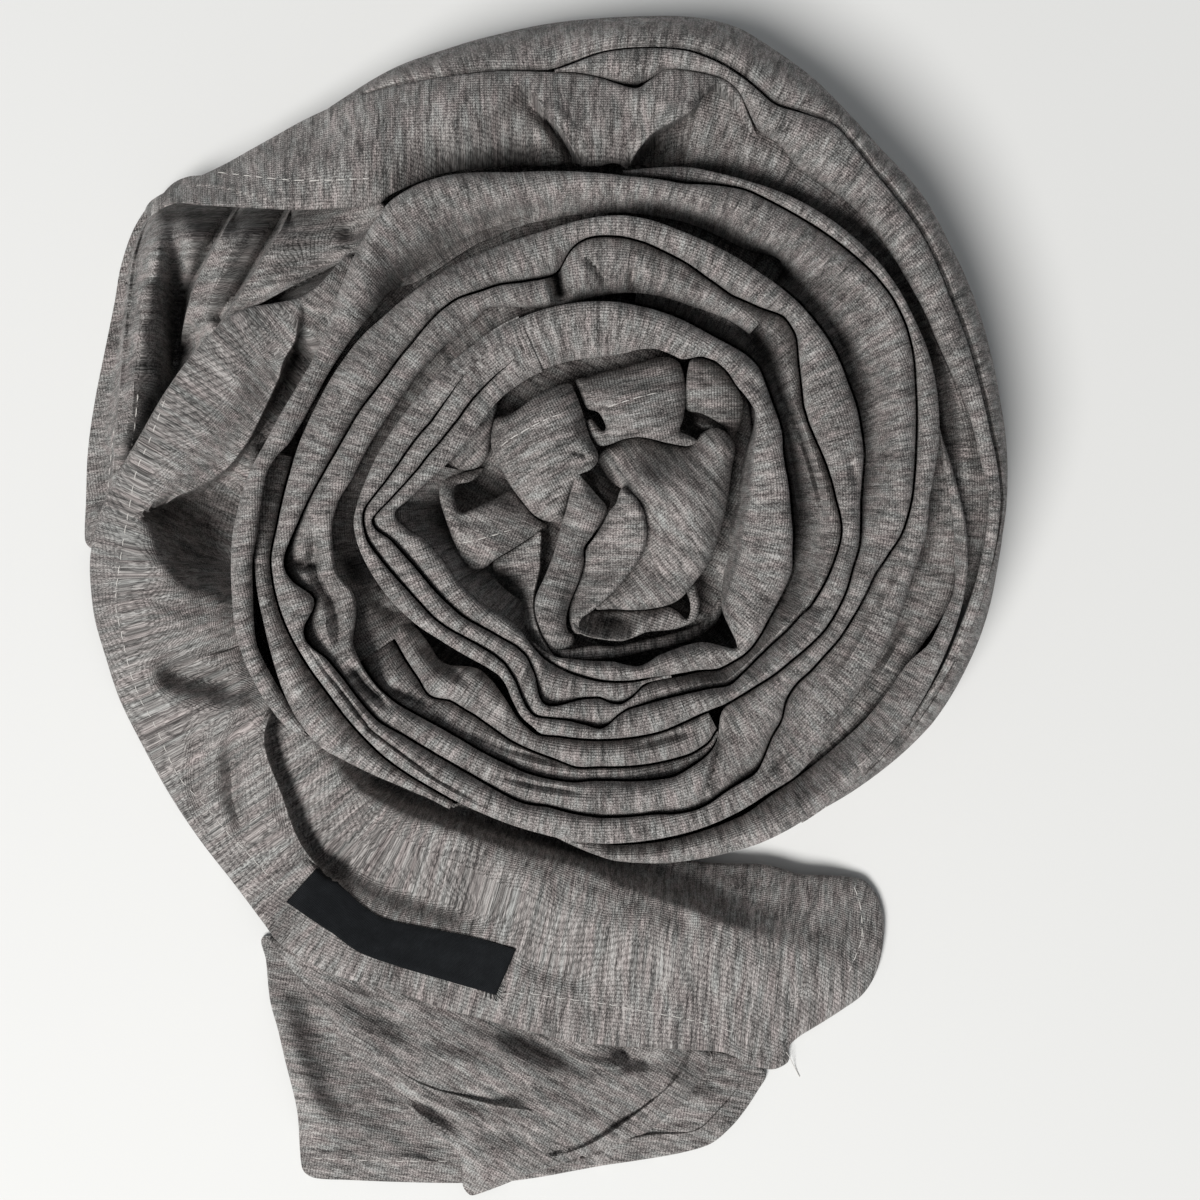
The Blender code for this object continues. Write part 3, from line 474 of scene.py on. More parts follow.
def lip(name, base, line, width=30, lift=1.2, back=7.0, thick=1.1, tuck=4.0):
    """A folded edge of cloth on the left of a line on the plan: it overhangs the line and sinks
    into the piece that it belongs to, width steps back from it and at both of its ends."""
    upper, cloth_at, layer, low = UPPER[base]
    pts = smooth_line(line, 2.6)
    n = len(pts)
    tan = np.gradient(pts, axis=0)
    for _ in range(4):
        tan[1:-1] = (tan[:-2] + 2 * tan[1:-1] + tan[2:]) / 4
    tan /= np.hypot(tan[:, 0], tan[:, 1])[:, None]
    left = np.stack([tan[:, 1], -tan[:, 0]], 1)
    run_ = np.concatenate([[0], np.cumsum(np.hypot(*np.diff(pts, axis=0).T))])
    q = np.clip(np.minimum(run_, run_[-1] - run_) / (0.22 * run_[-1]), 0, 1)
    q = q * q * (3 - 2 * q)
    lift_ = lift * (q + 0.16 * lumps(run_ / 40.0 + layer, 6.0 * np.ones(n)))
    reach = width * (0.35 + 0.65 * q) * (1 + 0.14 * lumps(run_ / 55.0 + 3, 2.0 * np.ones(n)))
    xs, ys, zs = [], [], []

    def add(d, z):
        p = pts + left * d[:, None]
        xs.append(p[:, 0])
        ys.append(p[:, 1])
        zs.append(z)
    kept = pts + left * (back * q + 0.5)[:, None]
    rim_z = upper(kept[:, 0], kept[:, 1]) + lift_
    here = upper(pts[:, 0], pts[:, 1])
    deep = np.maximum(np.minimum(here, rim_z) - 1.5, low + 0.2)
    add(3.0 * q + 0.6, deep)
    add(2.0 * q + 0.3, deep + 0.45 * (rim_z - tuck * 0.4 - deep) * (rim_z - deep > 1))
    for d, dz in ((0.7, 1.9), (0.0, 1.1), (0.4, 0.5), (1.3, 0.15)):
        add(d * np.ones(n), np.maximum(rim_z - dz * (0.4 + 0.6 * q), deep + 0.1))
    for f in (0.10, 0.2, 0.32, 0.46, 0.62, 0.8, 1.0):
        d = 1.3 + f * reach
        p = pts + left * d[:, None]
        b = pts + left * np.maximum(d, back * q + 0.5)[:, None]
        over = lift_ * (1 - f) ** 1.4 - 1.0 * f ** 2 - 1.4 * (1 - q)
        add(d, upper(b[:, 0], b[:, 1]) * (1 - f) + upper(p[:, 0], p[:, 1]) * f + over)
    X, Y, Z = (np.stack(v, 1) for v in (xs, ys, zs))
    U, V = cloth_at(X, Y, Z)
    low_z = np.maximum(Z - thick, low + 0.1)
    outside, inside = place(X, Y, Z), place(X + 0.5 * left[:, :1], Y + 0.5 * left[:, 1:], low_z)[:, ::-1]
    verts = np.concatenate([outside, inside], 1)
    m = verts.shape[1]
    cloth = np.stack([U, V, np.full(U.shape, 37.0 * layer)], -1) * MM
    cloth = np.concatenate([cloth, cloth[:, ::-1]], 1)
    ob = make(name, verts.reshape(-1, 3), ring_faces(n, m), cloth.reshape(-1, 3))
    length = run_[-1] * 0.2447 * MM
    wide = sum(p.area for p in ob.data.polygons) / 2 / length
    if wide > 0.0102:
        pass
    else:                                    # a narrow edge goes with the sheet that it belongs to
        ob.parent = bpy.data.objects[base + "_cloth"]
    return ob


def cut(name, outline, height, foot=None, thick=1.2, spacing=4.0, rim=(6.0, 1.5), marks=(), holes=(),
        grain=0.0, layer=0, node=None, low=0.3, wobble=0.25, slot="jersey", bend=None, held="folded",
        rests="inner_layers", declare=True, sharp=50, edge_fall=(), drape=(0.0, 0.0)):
    """A stretch of cloth with an outline on the plan.  height: a function of the plan, or points for
    one.  foot: where its sides reach down to, or None for a plain layer.  grain: direction of the
    ribs on the plan, degrees.  drape: how far the ribs run on down a slope.  edge_fall: ("x, y, reach, fall") places where the rim sinks more."""
    loop = smooth_loop(outline, min(3.0, spacing))
    gaps = [smooth_loop(h, min(3.0, spacing)) for h in holes]
    loops = [loop, *gaps]
    h = surface(height) if not callable(height) else height
    steiner = []
    for lp in loops:
        nx = np.roll(lp, -1, 0) - np.roll(lp, 1, 0)
        nrm = np.stack([nx[:, 1], -nx[:, 0]], 1)
        nrm /= np.maximum(np.hypot(nrm[:, 0], nrm[:, 1])[:, None], 1e-6)
        for d in (1.2, 3.2, 6.0):
            if d > spacing * 2.2:
                continue
            for sgn in (1, -1):
                steiner.append(lp[(np.arange(len(lp)) % (1 if d < 6 else 2)) == 0] + sgn * d * nrm[(np.arange(len(lp)) % (1 if d < 6 else 2)) == 0])
    lo, hi = loop.min(0), loop.max(0)
    gx, gy = np.meshgrid(np.arange(lo[0], hi[0], spacing), np.arange(lo[1], hi[1], spacing * 0.866))
    gx = gx + (np.arange(gx.shape[0]) % 2)[:, None] * spacing / 2
    grid = np.stack([gx.ravel(), gy.ravel()], 1)

    def keep(p, least):
        ok = inside_of(loop, p[:, 0], p[:, 1])
        for g in gaps:
            ok &= ~inside_of(g, p[:, 0], p[:, 1])
        p = p[ok]
        return p[edge_distance(loops, p[:, 0], p[:, 1]) > least]
    st = keep(np.concatenate(steiner), 0.8)
    cells = set()
    thin = []
    for p in st:                             # no two closer than a step
        key = (int(p[0] / 1.1), int(p[1] / 1.1))
        if key not in cells:
            cells.add(key)
            thin.append(p)
    st = np.array(thin) if thin else np.zeros((0, 2))
    grid = keep(grid, 7.5 if spacing > 2.8 else 4.0)
    pts = [*map(tuple, loop)]
    edges = [(i, (i + 1) % len(loop)) for i in range(len(loop))]
    for g in gaps:
        b = len(pts)
        pts += list(map(tuple, g))
        edges += [(b + i, b + (i + 1) % len(g)) for i in range(len(g))]
    pts += list(map(tuple, st)) + list(map(tuple, grid))
    out_v, _, out_f, ids, _, _ = delaunay_2d_cdt([Vector(p) for p in pts], edges, [], 2 if gaps else 1, 1e-4, True)
    P = np.array([tuple(v) for v in out_v], float)
    F = [tuple(f) for f in out_f]
    mid = np.array([P[list(f)].mean(0) for f in F])
    fill = inside_of(loop, mid[:, 0], mid[:, 1])
    for g in gaps:
        fill &= ~inside_of(g, mid[:, 0], mid[:, 1])
    F = [f for f, ok in zip(F, fill) if ok]
    used = sorted({v for f in F for v in f})
    order = {v: i for i, v in enumerate(used)}
    P, F = P[used], [tuple(order[v] for v in f) for f in F]
    x, y = P[:, 0], P[:, 1]
    bottom = low if foot is None else foot + 1.0
    a = math.radians(grain)
    kk = 0.2447

    def upper(x, y):
        z = h(x, y)
        R, D = rim
        s = np.clip(1 - edge_distance(loops, x, y) / R, 0, 1)
        fall = np.full(x.shape, D)
        for ex, ey, er, ef in edge_fall:
            fall = fall + ef * np.exp(-((x - ex) ** 2 + (y - ey) ** 2) / er ** 2)
        z = z - np.maximum(fall, 0.0) * (1 - np.sqrt(np.maximum(1 - s * s, 0)))
        z = z + marked(marks, x, y) if marks else z
        z = z + wobble * lumps(x / 62.0 + layer, y / 62.0) + 0.45 * wobble * ripples(x / 21.0, y / 21.0 + 5 * layer) + 0.2 * wobble * ripples(x / 9.0, y / 9.0)
        return np.maximum(z, bottom + (thick if foot is None else 0))

    def cloth_at(x, y, z):
        if bend is not None:
            v, u = bend(x, y)
            return u + drape[0] * z, v
        px, py = (x - 600) * kk + drape[0] * z, -(y - 600) * kk + drape[1] * z
        return -px * math.sin(a) + py * math.cos(a), px * math.cos(a) + py * math.sin(a)
    z = upper(x, y)
    U, V = cloth_at(x, y, z)
    UPPER[name] = (upper, cloth_at, layer, low)
    n = len(P)
    # boundary in order, by the edges that have one face
    count = {}
    for f in F:
        for i in range(len(f)):
            e = (f[i], f[(i + 1) % len(f)])
            count[e] = count.get(e, 0) + 1
    rimedges = [e for e in count if (e[1], e[0]) not in count]
    rimset = sorted({v for e in rimedges for v in e})
    t_px = thick / step(z)
    # inward direction at the rim
    inward = np.zeros((n, 2))
    for a0, b0 in rimedges:
        e = P[b0] - P[a0]
        nr = np.array([-e[1], e[0]])
        nr /= max(np.hypot(*nr), 1e-9)
        inward[a0] += nr
        inward[b0] += nr
    ln = np.hypot(inward[:, 0], inward[:, 1])
    inward[ln > 0] /= ln[ln > 0][:, None]
    top = place(x, y, z)
    under_xy = P + inward * np.where(ln > 0, t_px * (1.0 if foot is not None else 0.0), 0)[:, None]
    under = place(under_xy[:, 0], under_xy[:, 1], np.maximum(z - thick, low if foot is None else foot + 0.2))
    verts = [*top, *under]
    faces = [tuple(f) for f in F] + [tuple(n + i for i in f[::-1]) for f in F]
    cloth = np.stack([U, V, np.full(n, 37.0 * layer)], -1) * MM
    cloth = [*cloth, *cloth]
    if foot is None:
        faces += [(b0, a0, n + a0, n + b0) for a0, b0 in rimedges]
    else:
        where, wherei = {}, {}
        for v in rimset:
            drop = z[v] - foot
            where[v] = len(verts)
            verts.append(place(P[v, 0], P[v, 1], foot))
            cloth.append(np.array([U[v] + drop, V[v], 37.0 * layer]) * MM)
        for v in rimset:
            drop = z[v] - foot
            wherei[v] = len(verts)
            verts.append(place(under_xy[v, 0], under_xy[v, 1], foot))
            cloth.append(np.array([U[v] + drop, V[v], 37.0 * layer]) * MM)
        for a0, b0 in rimedges:
            faces.append((b0, a0, where[a0], where[b0]))
            faces.append((where[b0], where[a0], wherei[a0], wherei[b0]))
            faces.append((wherei[b0], wherei[a0], n + a0, n + b0))
    verts = np.array([np.ravel(v) for v in verts])
    tri = np.array([f for f in F if len(f) == 3])
    nrm = np.cross(verts[tri[:, 1]] - verts[tri[:, 0]], verts[tri[:, 2]] - verts[tri[:, 0]])
    if nrm[:, 2].sum() < 0:
        faces = [f[::-1] for f in faces]
    ob = make(name, verts, faces, np.array(cloth), node, slot, sharp)
    if declare:
        total = sum(p.area for p in ob.data.polygons) / 2
        side = (hi - lo) * kk * MM
        w, l = max(side[0], 0.012), max(side[1], 0.012)
        grow = math.sqrt(total / (w * l))
        w, l = w * max(grow, 1.0), l * max(grow, 1.0)
    return ob


# ---------------------------------------------------------------- turns of the roll
# columns of a shape: turn, place of the crest from the outer edge, outer fall, inner fall,
# outer and inner roundness
PLAIN = ((0, 0.5, 0.75, 0.75, 2.3, 2.3), (2000, 0.5, 0.75, 0.75, 2.3, 2.3))

CREST_1 = ((245, 50), (252, 52), (265, 55), (285, 57), (300, 57), (313, 56), (320, 59), (345, 61), (370, 62), (474, 62))
SHAPE_1 = ((245, .5, .9, .9, 2, 2), (300, .45, .8, .9, 2.2, 1.8), (312, .5, .8, .8, 2, 2), (322, .4, .7, .55, 2.2, 1.6),
           (345, .35, .75, .55, 2.2, 1.5), (365, .4, .8, .6, 2.2, 1.5), (385, .5, .8, .7, 2, 1.8),
           (405, .5, .8, .8, 2, 2), (420, .35, .6, .5, 2.2, 1.6), (445, .3, .55, .45, 2.2, 1.5), (474, .3, .5, .42, 2.3, 1.6))


def band_top(r):
    """Height of the plain cloth that the three inner creases start in."""
    ro, ri = 199.0, 142.0
    rc = ro - 0.30 * (ro - ri)
    k = step(62.0)
    up = np.clip((r - rc) / (ro - rc), 0, 1)
    dn = np.clip((rc - r) / (rc - ri), 0, 1)
    do, di = DEEPER * 0.5 * (ro - rc) * k, DEEPER * 0.42 * (rc - ri) * k
    po, pi = 2.3 * ROUNDER, 1.6 * ROUNDER
    return 62.0 - do * (1 - (1 - up ** po) ** (1 / po)) - di * (1 - (1 - dn ** pi) ** (1 / pi))


turn1_out = lane(("T3_in", 0, 245, 300), ("T2_in", 0, 300, 475))
turn1_in = lane(("F_in", 0, 245, 475))
strand("turn_1", 245, 474, turn1_out, turn1_in, CREST_1, SHAPE_1, ref=474, layer=0,
       flare=lambda t: 22 * np.exp(-((t - 352) / 30.0) ** 4),
       marks=(("dip@", ((418, 152), (432, 150), (450, 148)), 9, 1.5),
              ("dip@", ((322, 178), (340, 172), (352, 168)), 10, -0.8),
              ("dip@", ((392, 200), (400, 190), (407, 181)), 6, 1.8),
              ("dip@", ((312, 206), (316, 196), (319, 184), (322, 168)), 5, 2.6)))

lane_1i = ((474, 61), (495, 60), (515, 60), (532, 60), (541, 59), (552, 58), (595, 58), (613, 56), (630, 55), (652, 52))
lane_1m = ((474, 61), (515, 61), (532, 60), (545, 59), (578, 59), (605, 58), (622, 57), (630, 56), (645, 54), (660, 52),
           (680, 50), (700, 51), (720, 51), (745, 50), (765, 47), (800, 46))
lane_1o = ((474, 61), (532, 61), (545, 60), (578, 59), (613, 58), (660, 58), (673, 58), (690, 59), (710, 60), (757, 59),
           (800, 59), (817, 57), (870, 57), (912, 56), (938, 56), (975, 55), (1020, 54), (1040, 53), (1085, 54),
           (1115, 53), (1132, 52), (1148, 48), (1158, 43), (1166, 38))
strand("turn_2_inner", 474, 652, lane(("T2_in", 360, 474, 652)), lane(("T3_in", 360, 474, 652)), lane_1i,
       ((474, .45, .7, .55, 2.3, 1.8), (500, .45, .75, .6, 2.3, 1.8), (540, .5, .8, .8, 2.1, 2.1), (575, .5, .7, .8, 2.2, 2.2),
        (652, .5, .8, .8, 2.2, 2.2)),
       band=(474, 474, band_top), layer=0, ref=474,
       marks=(("dip@", ((132, 150), (150, 151), (162, 156)), 6, 0.8),))
strand("turn_2_middle", 474, 800,
       lane(("T1_in", 360, 474, 660), ("C_in", 360, 660, 801)),
       lane(("T2_in", 360, 474, 801)), lane_1m,
       ((474, .5, .7, .7, 2.3, 2.3), (640, .5, .8, .8, 2.2, 2.2), (662, .25, .8, 1.3, 2, 1.3), (700, .2, .8, 1.2, 2, 1.3),
        (716, .18, .8, 1.1, 2, 1.4), (745, .2, .8, 1.1, 2, 1.4), (765, .3, .8, .9, 2, 1.6), (800, .5, .8, .8, 2, 2)),
       band=(488, 474, band_top), layer=0, ref=474,
       marks=(("dip@", ((352, 223), (0, 222), (5, 218), (10, 214), (20, 211), (30, 209), (35, 213), (39, 226)), 3.2, 4.0),
              ("dip@", ((350, 203), (0, 200), (10, 198), (22, 200)), 2.6, 2.5),
              ("dip@", ((38, 212), (46, 222), (52, 232)), 9, 9.0)))
strand("turn_2_outer", 474, 1166,
       lane(("T1_out", 360, 474, 615), ("E_in", 360, 615, 660), ("C_out", 360, 660, 1020), ("Ra_out", 720, 1020, 1167)),
       lane(("T1_in", 360, 474, 660), ("C_in", 360, 660, 1020), ("Ra_in", 720, 1020, 1167)), lane_1o,
       ((474, .5, .7, .7, 2.3, 2.3), (655, .5, .75, .75, 2.3, 2.3), (664, .35, .8, .9, 2.2, 1.5), (688, .35, .8, .9, 2.2, 1.5),
        (697, .5, 1.1, .9, 2, 2), (712, .5, .9, .8, 2, 2), (722, .45, .7, .7, 2.4, 2), (752, .5, .6, .7, 2.4, 2),
        (760, .5, .8, .8, 2.1, 2.1), (780, .5, .8, .8, 2.1, 2.1), (785, .5, .7, .7, 2.3, 2.3), (812, .45, .7, .7, 2.3, 2.3),
        (820, .5, .9, .9, 2.1, 1.8), (828, .62, .9, .8, 2, 2), (870, .66, 1.0, .8, 1.7, 2), (885, .55, .8, .7, 2, 2.2),
        (905, .5, .7, .7, 2.4, 2.4), (930, .5, .7, .7, 2.4, 2.4), (1015, .5, .7, .7, 2.4, 2.4), (1024, .32, .8, .5, 2.2, 2),
        (1060, .35, .8, .5, 2.2, 2), (1074, .5, .8, .8, 2.1, 2.1), (1166, .5, .8, .8, 2.1, 2.1)),
       band=(474, 488, band_top), layer=0, ref=474,
       marks=(("dip@", ((334, 245), (337, 247)), 8, 3.0),
              ("dip@", ((2, 258), (5, 256), (9, 254), (12, 250)), 4, 2.0),
              ("dip@", ((15, 232), (25, 236), (33, 245)), 5, 1.6),
              ("dip@", ((70, 252), (74, 268), (76, 280)), 5, 1.0),
              ("dip@", ((84, 252), (87, 266)), 5, 1.0),
              ("dip@", ((208, 326), (225, 325), (240, 324), (251, 328)), 2.0, 2.4),
              ("dip@", ((315, 294), (325, 290), (333, 291), (340, 297), (345, 303), (350, 311), (354, 318)), 2.2, 2.6),
              ("dip@", ((300, 326), (305, 316), (310, 306), (314, 296)), 2.2, 2.2)))

CREST_3 = ((48, 52), (55, 56), (97, 57), (126, 57), (150, 58), (185, 57), (192, 55), (262, 54), (285, 54), (296, 53),
           (305, 55), (320, 57), (340, 58), (360, 57), (380, 56), (405, 54), (412, 53), (480, 53), (513, 54), (532, 54),
           (552, 52), (566, 50), (578, 47))
b_in = lane(("D_in", 0, 48, 301), ("C_out", 0, 301, 412), ("B_in", 360, 412, 578))
b_out = lane(("C_in", -360, 48, 301), ("Ra_in", 0, 301, 450), ("B_out", 360, 450, 578))
strand("turn_3", 48, 578, b_out, b_in, CREST_3,
       ((48, .4, .8, .8, 2, 2), (60, .32, .8, .9, 2.1, 1.5), (84, .34, .8, .8, 2, 1.7), (105, .5, .8, .8, 2, 2), (150, .5, .7, .7, 2.3, 2.3),
        (185, .5, .8, .7, 2, 2.2), (215, .5, .8, .8, 2.2, 2.2), (262, .5, .75, .75, 2.2, 2.2), (290, .5, .7, .7, 2.2, 2),
        (302, .5, .7, .8, 2.2, 2), (315, .5, .7, .8, 2.2, 2), (342, .5, .7, .7, 2.2, 2.2), (352, .5, .6, .7, 2.4, 2),
        (365, .25, .7, .8, 2.3, 1.25), (380, .15, .9, .85, 2, 1.25), (400, .15, .9, .85, 2, 1.25), (408, .3, .8, .9, 2, 1.4),
        (420, .36, .8, 1.0, 2, 1.7), (448, .36, .7, 1.0, 2.2, 1.7), (465, .4, .7, 1.0, 2.2, 1.6), (474, .28, .8, 1.25, 2.2, 1.25),
        (482, .2, .9, 1.35, 2, 1.2), (490, .2, .9, 1.3, 2, 1.25), (498, .4, .8, .8, 2.2, 2), (530, .5, .8, .8, 2.1, 2.1),
        (578, .5, .8, .8, 2, 2)),
       layer=1, across=12,
       marks=(("dip@", ((94.5, 247), (91, 232), (88, 212)), 3.6, 4.0),
              ("dip@", ((81, 208), (81.5, 222), (82, 238)), 5.5, 5.0),
              ("dip@", ((56, 214), (64, 213), (72, 212), (80, 211)), 7, 3.0),
              ("dip@", ((66, 236), (72, 240)), 8, 1.2),
              ("dip@", ((101, 210), (101, 232)), 6.5, 14.0),
              ("dip@", ((36, 332), (42, 318), (47, 298)), 6, 3.6),
              ("dip@", ((357, 301), (3, 294), (10, 290), (15, 291), (25, 292), (35, 291), (43, 290)), 4.0, 3.2),
              ("dip@", ((358, 281), (5, 278), (20, 283), (35, 288)), 8, 2.2),
              ("dip@", ((48, 290), (54, 291), (59, 290)), 9, 15.0),
              ("dip@", ((61, 294), (68, 296), (76, 296), (83, 294)), 8, 6.0),
              ("dip@", ((98, 292), (106, 296), (116, 297), (128, 297), (140, 296)), 9, 11.0),
              ("dip@", ((117, 308), (122, 303), (130, 300)), 12, 3.0),
              ("dip@", ((288, 322), (291, 305), (294, 286), (298, 262), (301, 244)), 3.2, 3.6),
              ("dip@", ((348, 270), (353, 285), (357, 300)), 7, 1.0),
              ("dip@", ((330, 262), (334, 268), (337, 276)), 6, 0.9),
              ("dip@", ((183, 284), (187, 288), (191, 292), (196, 293), (201, 286), (206, 292), (211, 303)), 6.5, 6.0),
              ("dip@", ((185, 271), (190, 274), (195, 275), (200, 266), (205, 268), (210, 286)), 3.2, -1.2),
              ("dip@", ((192, 312), (192.5, 302), (193, 292)), 4, 5.0),
              ("dip@", ((199, 325), (199, 312), (198.5, 300)), 5, 6.0),
              ("dip@", ((213, 300), (218, 300), (224, 297)), 5, 6.0),
              ("dip@", ((248, 296), (258, 293), (268, 295)), 3.0, 2.0)))
strand("under_fold", 94, 214, lane(([(t, r + 3) for t, r in points_of("D_in")], 0, 94, 214)),
       lane((((94, 184), (104, 188), (116, 196), (135, 200), (150, 207), (165, 221), (180, 240), (190, 245), (200, 236), (214, 220)), 0, 94, 214)),
       ((94, 44), (116, 46), (150, 45), (180, 44), (200, 43), (214, 43)),
       ((94, .2, .3, .5, 2, 1.4), (180, .2, .3, .6, 2, 1.3), (214, .3, .3, .5, 2, 1.6)), layer=26, gap=0.0, extra=True,
       marks=(("dip@", ((192, 262), (196, 258), (199, 254)), 8, 9.0), ("dip@", ((182, 250), (190, 262)), 5, -1.4),
              ("dip@", ((203, 250), (207, 240), (210, 232)), 6, 3.0)))
strand("inner_slope", 168, 268, lane(([(t, r + 4) for t, r in points_of("T3_in")], 0, 168, 268)),
       lane((((168, 132), (180, 146), (185, 152), (190, 148), (200, 138), (215, 132), (232, 128), (245, 130), (268, 138)), 0, 168, 268)),
       ((168, 46), (185, 48), (200, 49), (225, 48), (250, 45), (268, 42)),
       ((168, .1, .3, 1.0, 2, 1.25), (268, .1, .3, 1.0, 2, 1.25)), layer=27, gap=0.0, extra=True,
       marks=(("dip@", ((186, 190), (188, 172), (186, 156)), 5, -1.5), ("dip@", ((205, 154), (214, 148), (224, 144)), 6, 2.0),
              ("dip@", ((196, 160), (204, 150)), 5, -1.0)))
strand("turn_3_low", 203, 297, lane(("D_in", 0, 203, 297)), lane(("E_out", 0, 203, 297)),
       ((203, 30), (209, 38), (220, 48), (235, 50), (253, 50), (270, 48), (290, 45)), PLAIN, layer=2,
       marks=(("dip@", ((222, 286), (226, 276), (231, 266)), 5, 3.0), ("dip@", ((240, 270), (250, 266), (262, 268)), 3, 1.6)))
strand("turn_3_lower", 206, 297, lane(("E_out", 0, 206, 297)), lane(("E_in", 0, 206, 297)),
       ((206, 30), (213, 41), (225, 51), (235, 54), (253, 54), (285, 52), (297, 49)),
       ((206, .5, .8, .8, 2, 2), (235, .4, .7, .7, 2.2, 2), (297, .5, .7, .7, 2.2, 2.2)), layer=3,
       marks=(("dip@", ((218, 232), (226, 228), (236, 226)), 5, 3.0),
              ("dip@", ((278, 250), (286, 247), (293, 250)), 4, 2.4), ("dip@", ((236, 228), (242, 236), (250, 244)), 5, 1.4)))
strand("turn_4_low", 172, 244, lane(("G_out", 0, 172, 244)), lane(("C_out", -360, 172, 244)),
       ((172, 42), (185, 46), (192, 49), (206, 51), (217, 51), (228, 48), (244, 43)),
       ((172, .5, .8, .8, 2, 2), (195, .4, .6, .6, 2.3, 2), (244, .5, .8, .8, 2, 2)), layer=4)
strand("turn_5", 262, 372, lane(("W_out", 0, 262, 372)), lane(("W_in", 0, 262, 372)),
       ((262, 42), (272, 45), (280, 48), (295, 51), (320, 51), (335, 50), (355, 47), (372, 44)),
       ((262, .4, .8, .8, 2, 1.8), (300, .35, .8, .8, 2, 1.6), (320, .3, .9, .8, 2, 1.4), (345, .3, .8, .8, 2, 1.6), (372, .5, .8, .8, 2, 2)),
       foot=FOOT_RIM, layer=5,
       marks=(("dip@", ((350, 366), (355, 360), (362, 354)), 4, 1.2),))
strand("turn_5_low", 304, 370, lane((((304, 338), (318, 343), (335, 352), (345, 367), (352, 359), (366, 350), (370, 348)), 0, 304, 370)),
       lane((((304, 336), (312, 330), (322, 317), (345, 318), (352, 322), (358, 328), (370, 338)), 0, 304, 370)),
       ((304, 34), (318, 38), (335, 40), (345, 41), (360, 41), (370, 38)),
       ((304, .5, .3, .3, 2, 2), (370, .5, .3, .3, 2, 2)), layer=6, gap=0.0, foot=FOOT_IN,
       marks=(("dip@", ((330, 324), (334, 326), (339, 330)), 3.4, 5.0), ("dip@", ((329, 329), (334, 331), (340, 334)), 2.6, -2.2), ("dip@", ((348, 326), (356, 332), (364, 338)), 6, 4.0), ("dip@", ((322, 330), (335, 340), (346, 352)), 6, -1.2),
              ("dip@", ((345, 338), (352, 342), (360, 346)), 5, 1.6)))

far_line = from_plan(((775, 105), (745, 78), (720, 62), (690, 50), (660, 47), (625, 48), (600, 52), (575, 62), (548, 72)))
low_line = from_plan(((775, 148), (757, 133), (748, 112), (740, 94), (725, 80), (700, 73), (668, 69), (650, 80), (637, 88),
                      (618, 84), (600, 78), (575, 73), (548, 73)))
far_turns = [(t + 360, r) for t, r in far_line]
low_turns = [(t + 360, r) for t, r in low_line]
g1 = [*[tuple(p) for p in points_of("G1")], (414, 436), (418, 444), *[q for q in far_turns if q[0] > 420]]
g2 = [*[tuple(p) for p in points_of("G2") if p[0] < 424], *[q for q in low_turns if q[0] > 424]]
strand("turn_6", 325, 456, lane((((325, 386), (330, 387), (345, 396), (360, 402)), 0, 325, 360), (g1, 0, 360, 457)),
       lane((((325, 379), (340, 380), (350, 384), (360, 388)), 0, 325, 360), (g2, 0, 360, 457)),
       ((325, 42), (340, 46), (360, 48), (385, 49), (400, 48), (420, 46), (456, 43)),
       ((325, .5, .8, .8, 2, 2), (370, .5, .7, .7, 2.2, 2.2), (395, .4, .6, .7, 2.2, 1.8), (456, .4, .6, .6, 2.2, 2)),
       foot=FOOT_RIM, layer=7,
       marks=(("dip@", ((50, 425), (57, 420), (62, 405)), 8, 1.6),))
strand("valley", 344, 436, lane((((344, 382), (350, 388)), 0, 344, 350), ([(t, r + 4) for t, r in g2], 0, 350, 437)),
       lane(([(t, r - 4) for t, r in points_of("Ra_out")], 0, 344, 437)),
       ((344, 40), (360, 40), (370, 39), (385, 36), (400, 36), (414, 38), (436, 38)),
       ((344, .5, .5, .5, 2, 2), (360, .5, .4, .5, 2, 2), (380, .3, .4, 1.2, 2, 1.3), (400, .3, .4, 1.2, 2, 1.3), (436, .5, .5, .6, 2, 2)),
       foot=FOOT_RIM, layer=8, across=12, gap=0.0,
       marks=(("dip@", ((6, 360), (16, 364), (28, 366)), 5, 4.0), ("dip@", ((22, 372), (38, 378), (52, 377)), 7, 5.0),
              ("dip@", ((4, 368), (10, 374)), 7, -1.6)))

# ---------------------------------------------------------------- outermost turn
outline_pts = ((1008, 470), (1005, 430), (1000, 400), (990, 350), (975, 300), (950, 245), (925, 198), (880, 148), (850, 115),
               (810, 75), (775, 50), (740, 28), (710, 19), (680, 16), (650, 16), (620, 17), (590, 19), (560, 22), (530, 27),
               (500, 34), (475, 40), (450, 48), (425, 56), (400, 65), (375, 78), (350, 94))
sil_line = [(t + 360, r) for t, r in from_plan(outline_pts)]
sil_all = [*[tuple(p) for p in points_of("sil") if p[0] < 364], *[q for q in sil_line if q[0] > 366]]
rim_line = [(302, 376), (320, 377), (330, 379), (338, 384), (345, 392), *[q for q in g1 if q[0] >= 360],
            *[(t + 360, r) for t, r in from_plan(((548, 72), (520, 71), (500, 71), (475, 73), (450, 76), (425, 80), (400, 85), (375, 92), (350, 104)))]]
WRAP = ((302, 20, 10), (312, 30, 16), (320, 35, 20), (330, 38, 22), (345, 40, 22), (360, 42, 22), (380, 44, 22), (417, 43, 22), (424, 42, 22),
        (430, 42, 20), (442, 42, 17), (455, 41.5, 16), (470, 40, 15), (480, 33, 13), (485, 27, 10), (489.5, 17, 7), (498, 10, 4))
turns = np.arange(302, 498.1, 1.0)
r_in, r_out = lane((rim_line, 0, 302, 499))(turns) + 1.0, lane((sil_all, 0, 302, 499))(turns)
z_rim, z_wide = table(WRAP, 1)(turns), table(WRAP, 2)(turns)
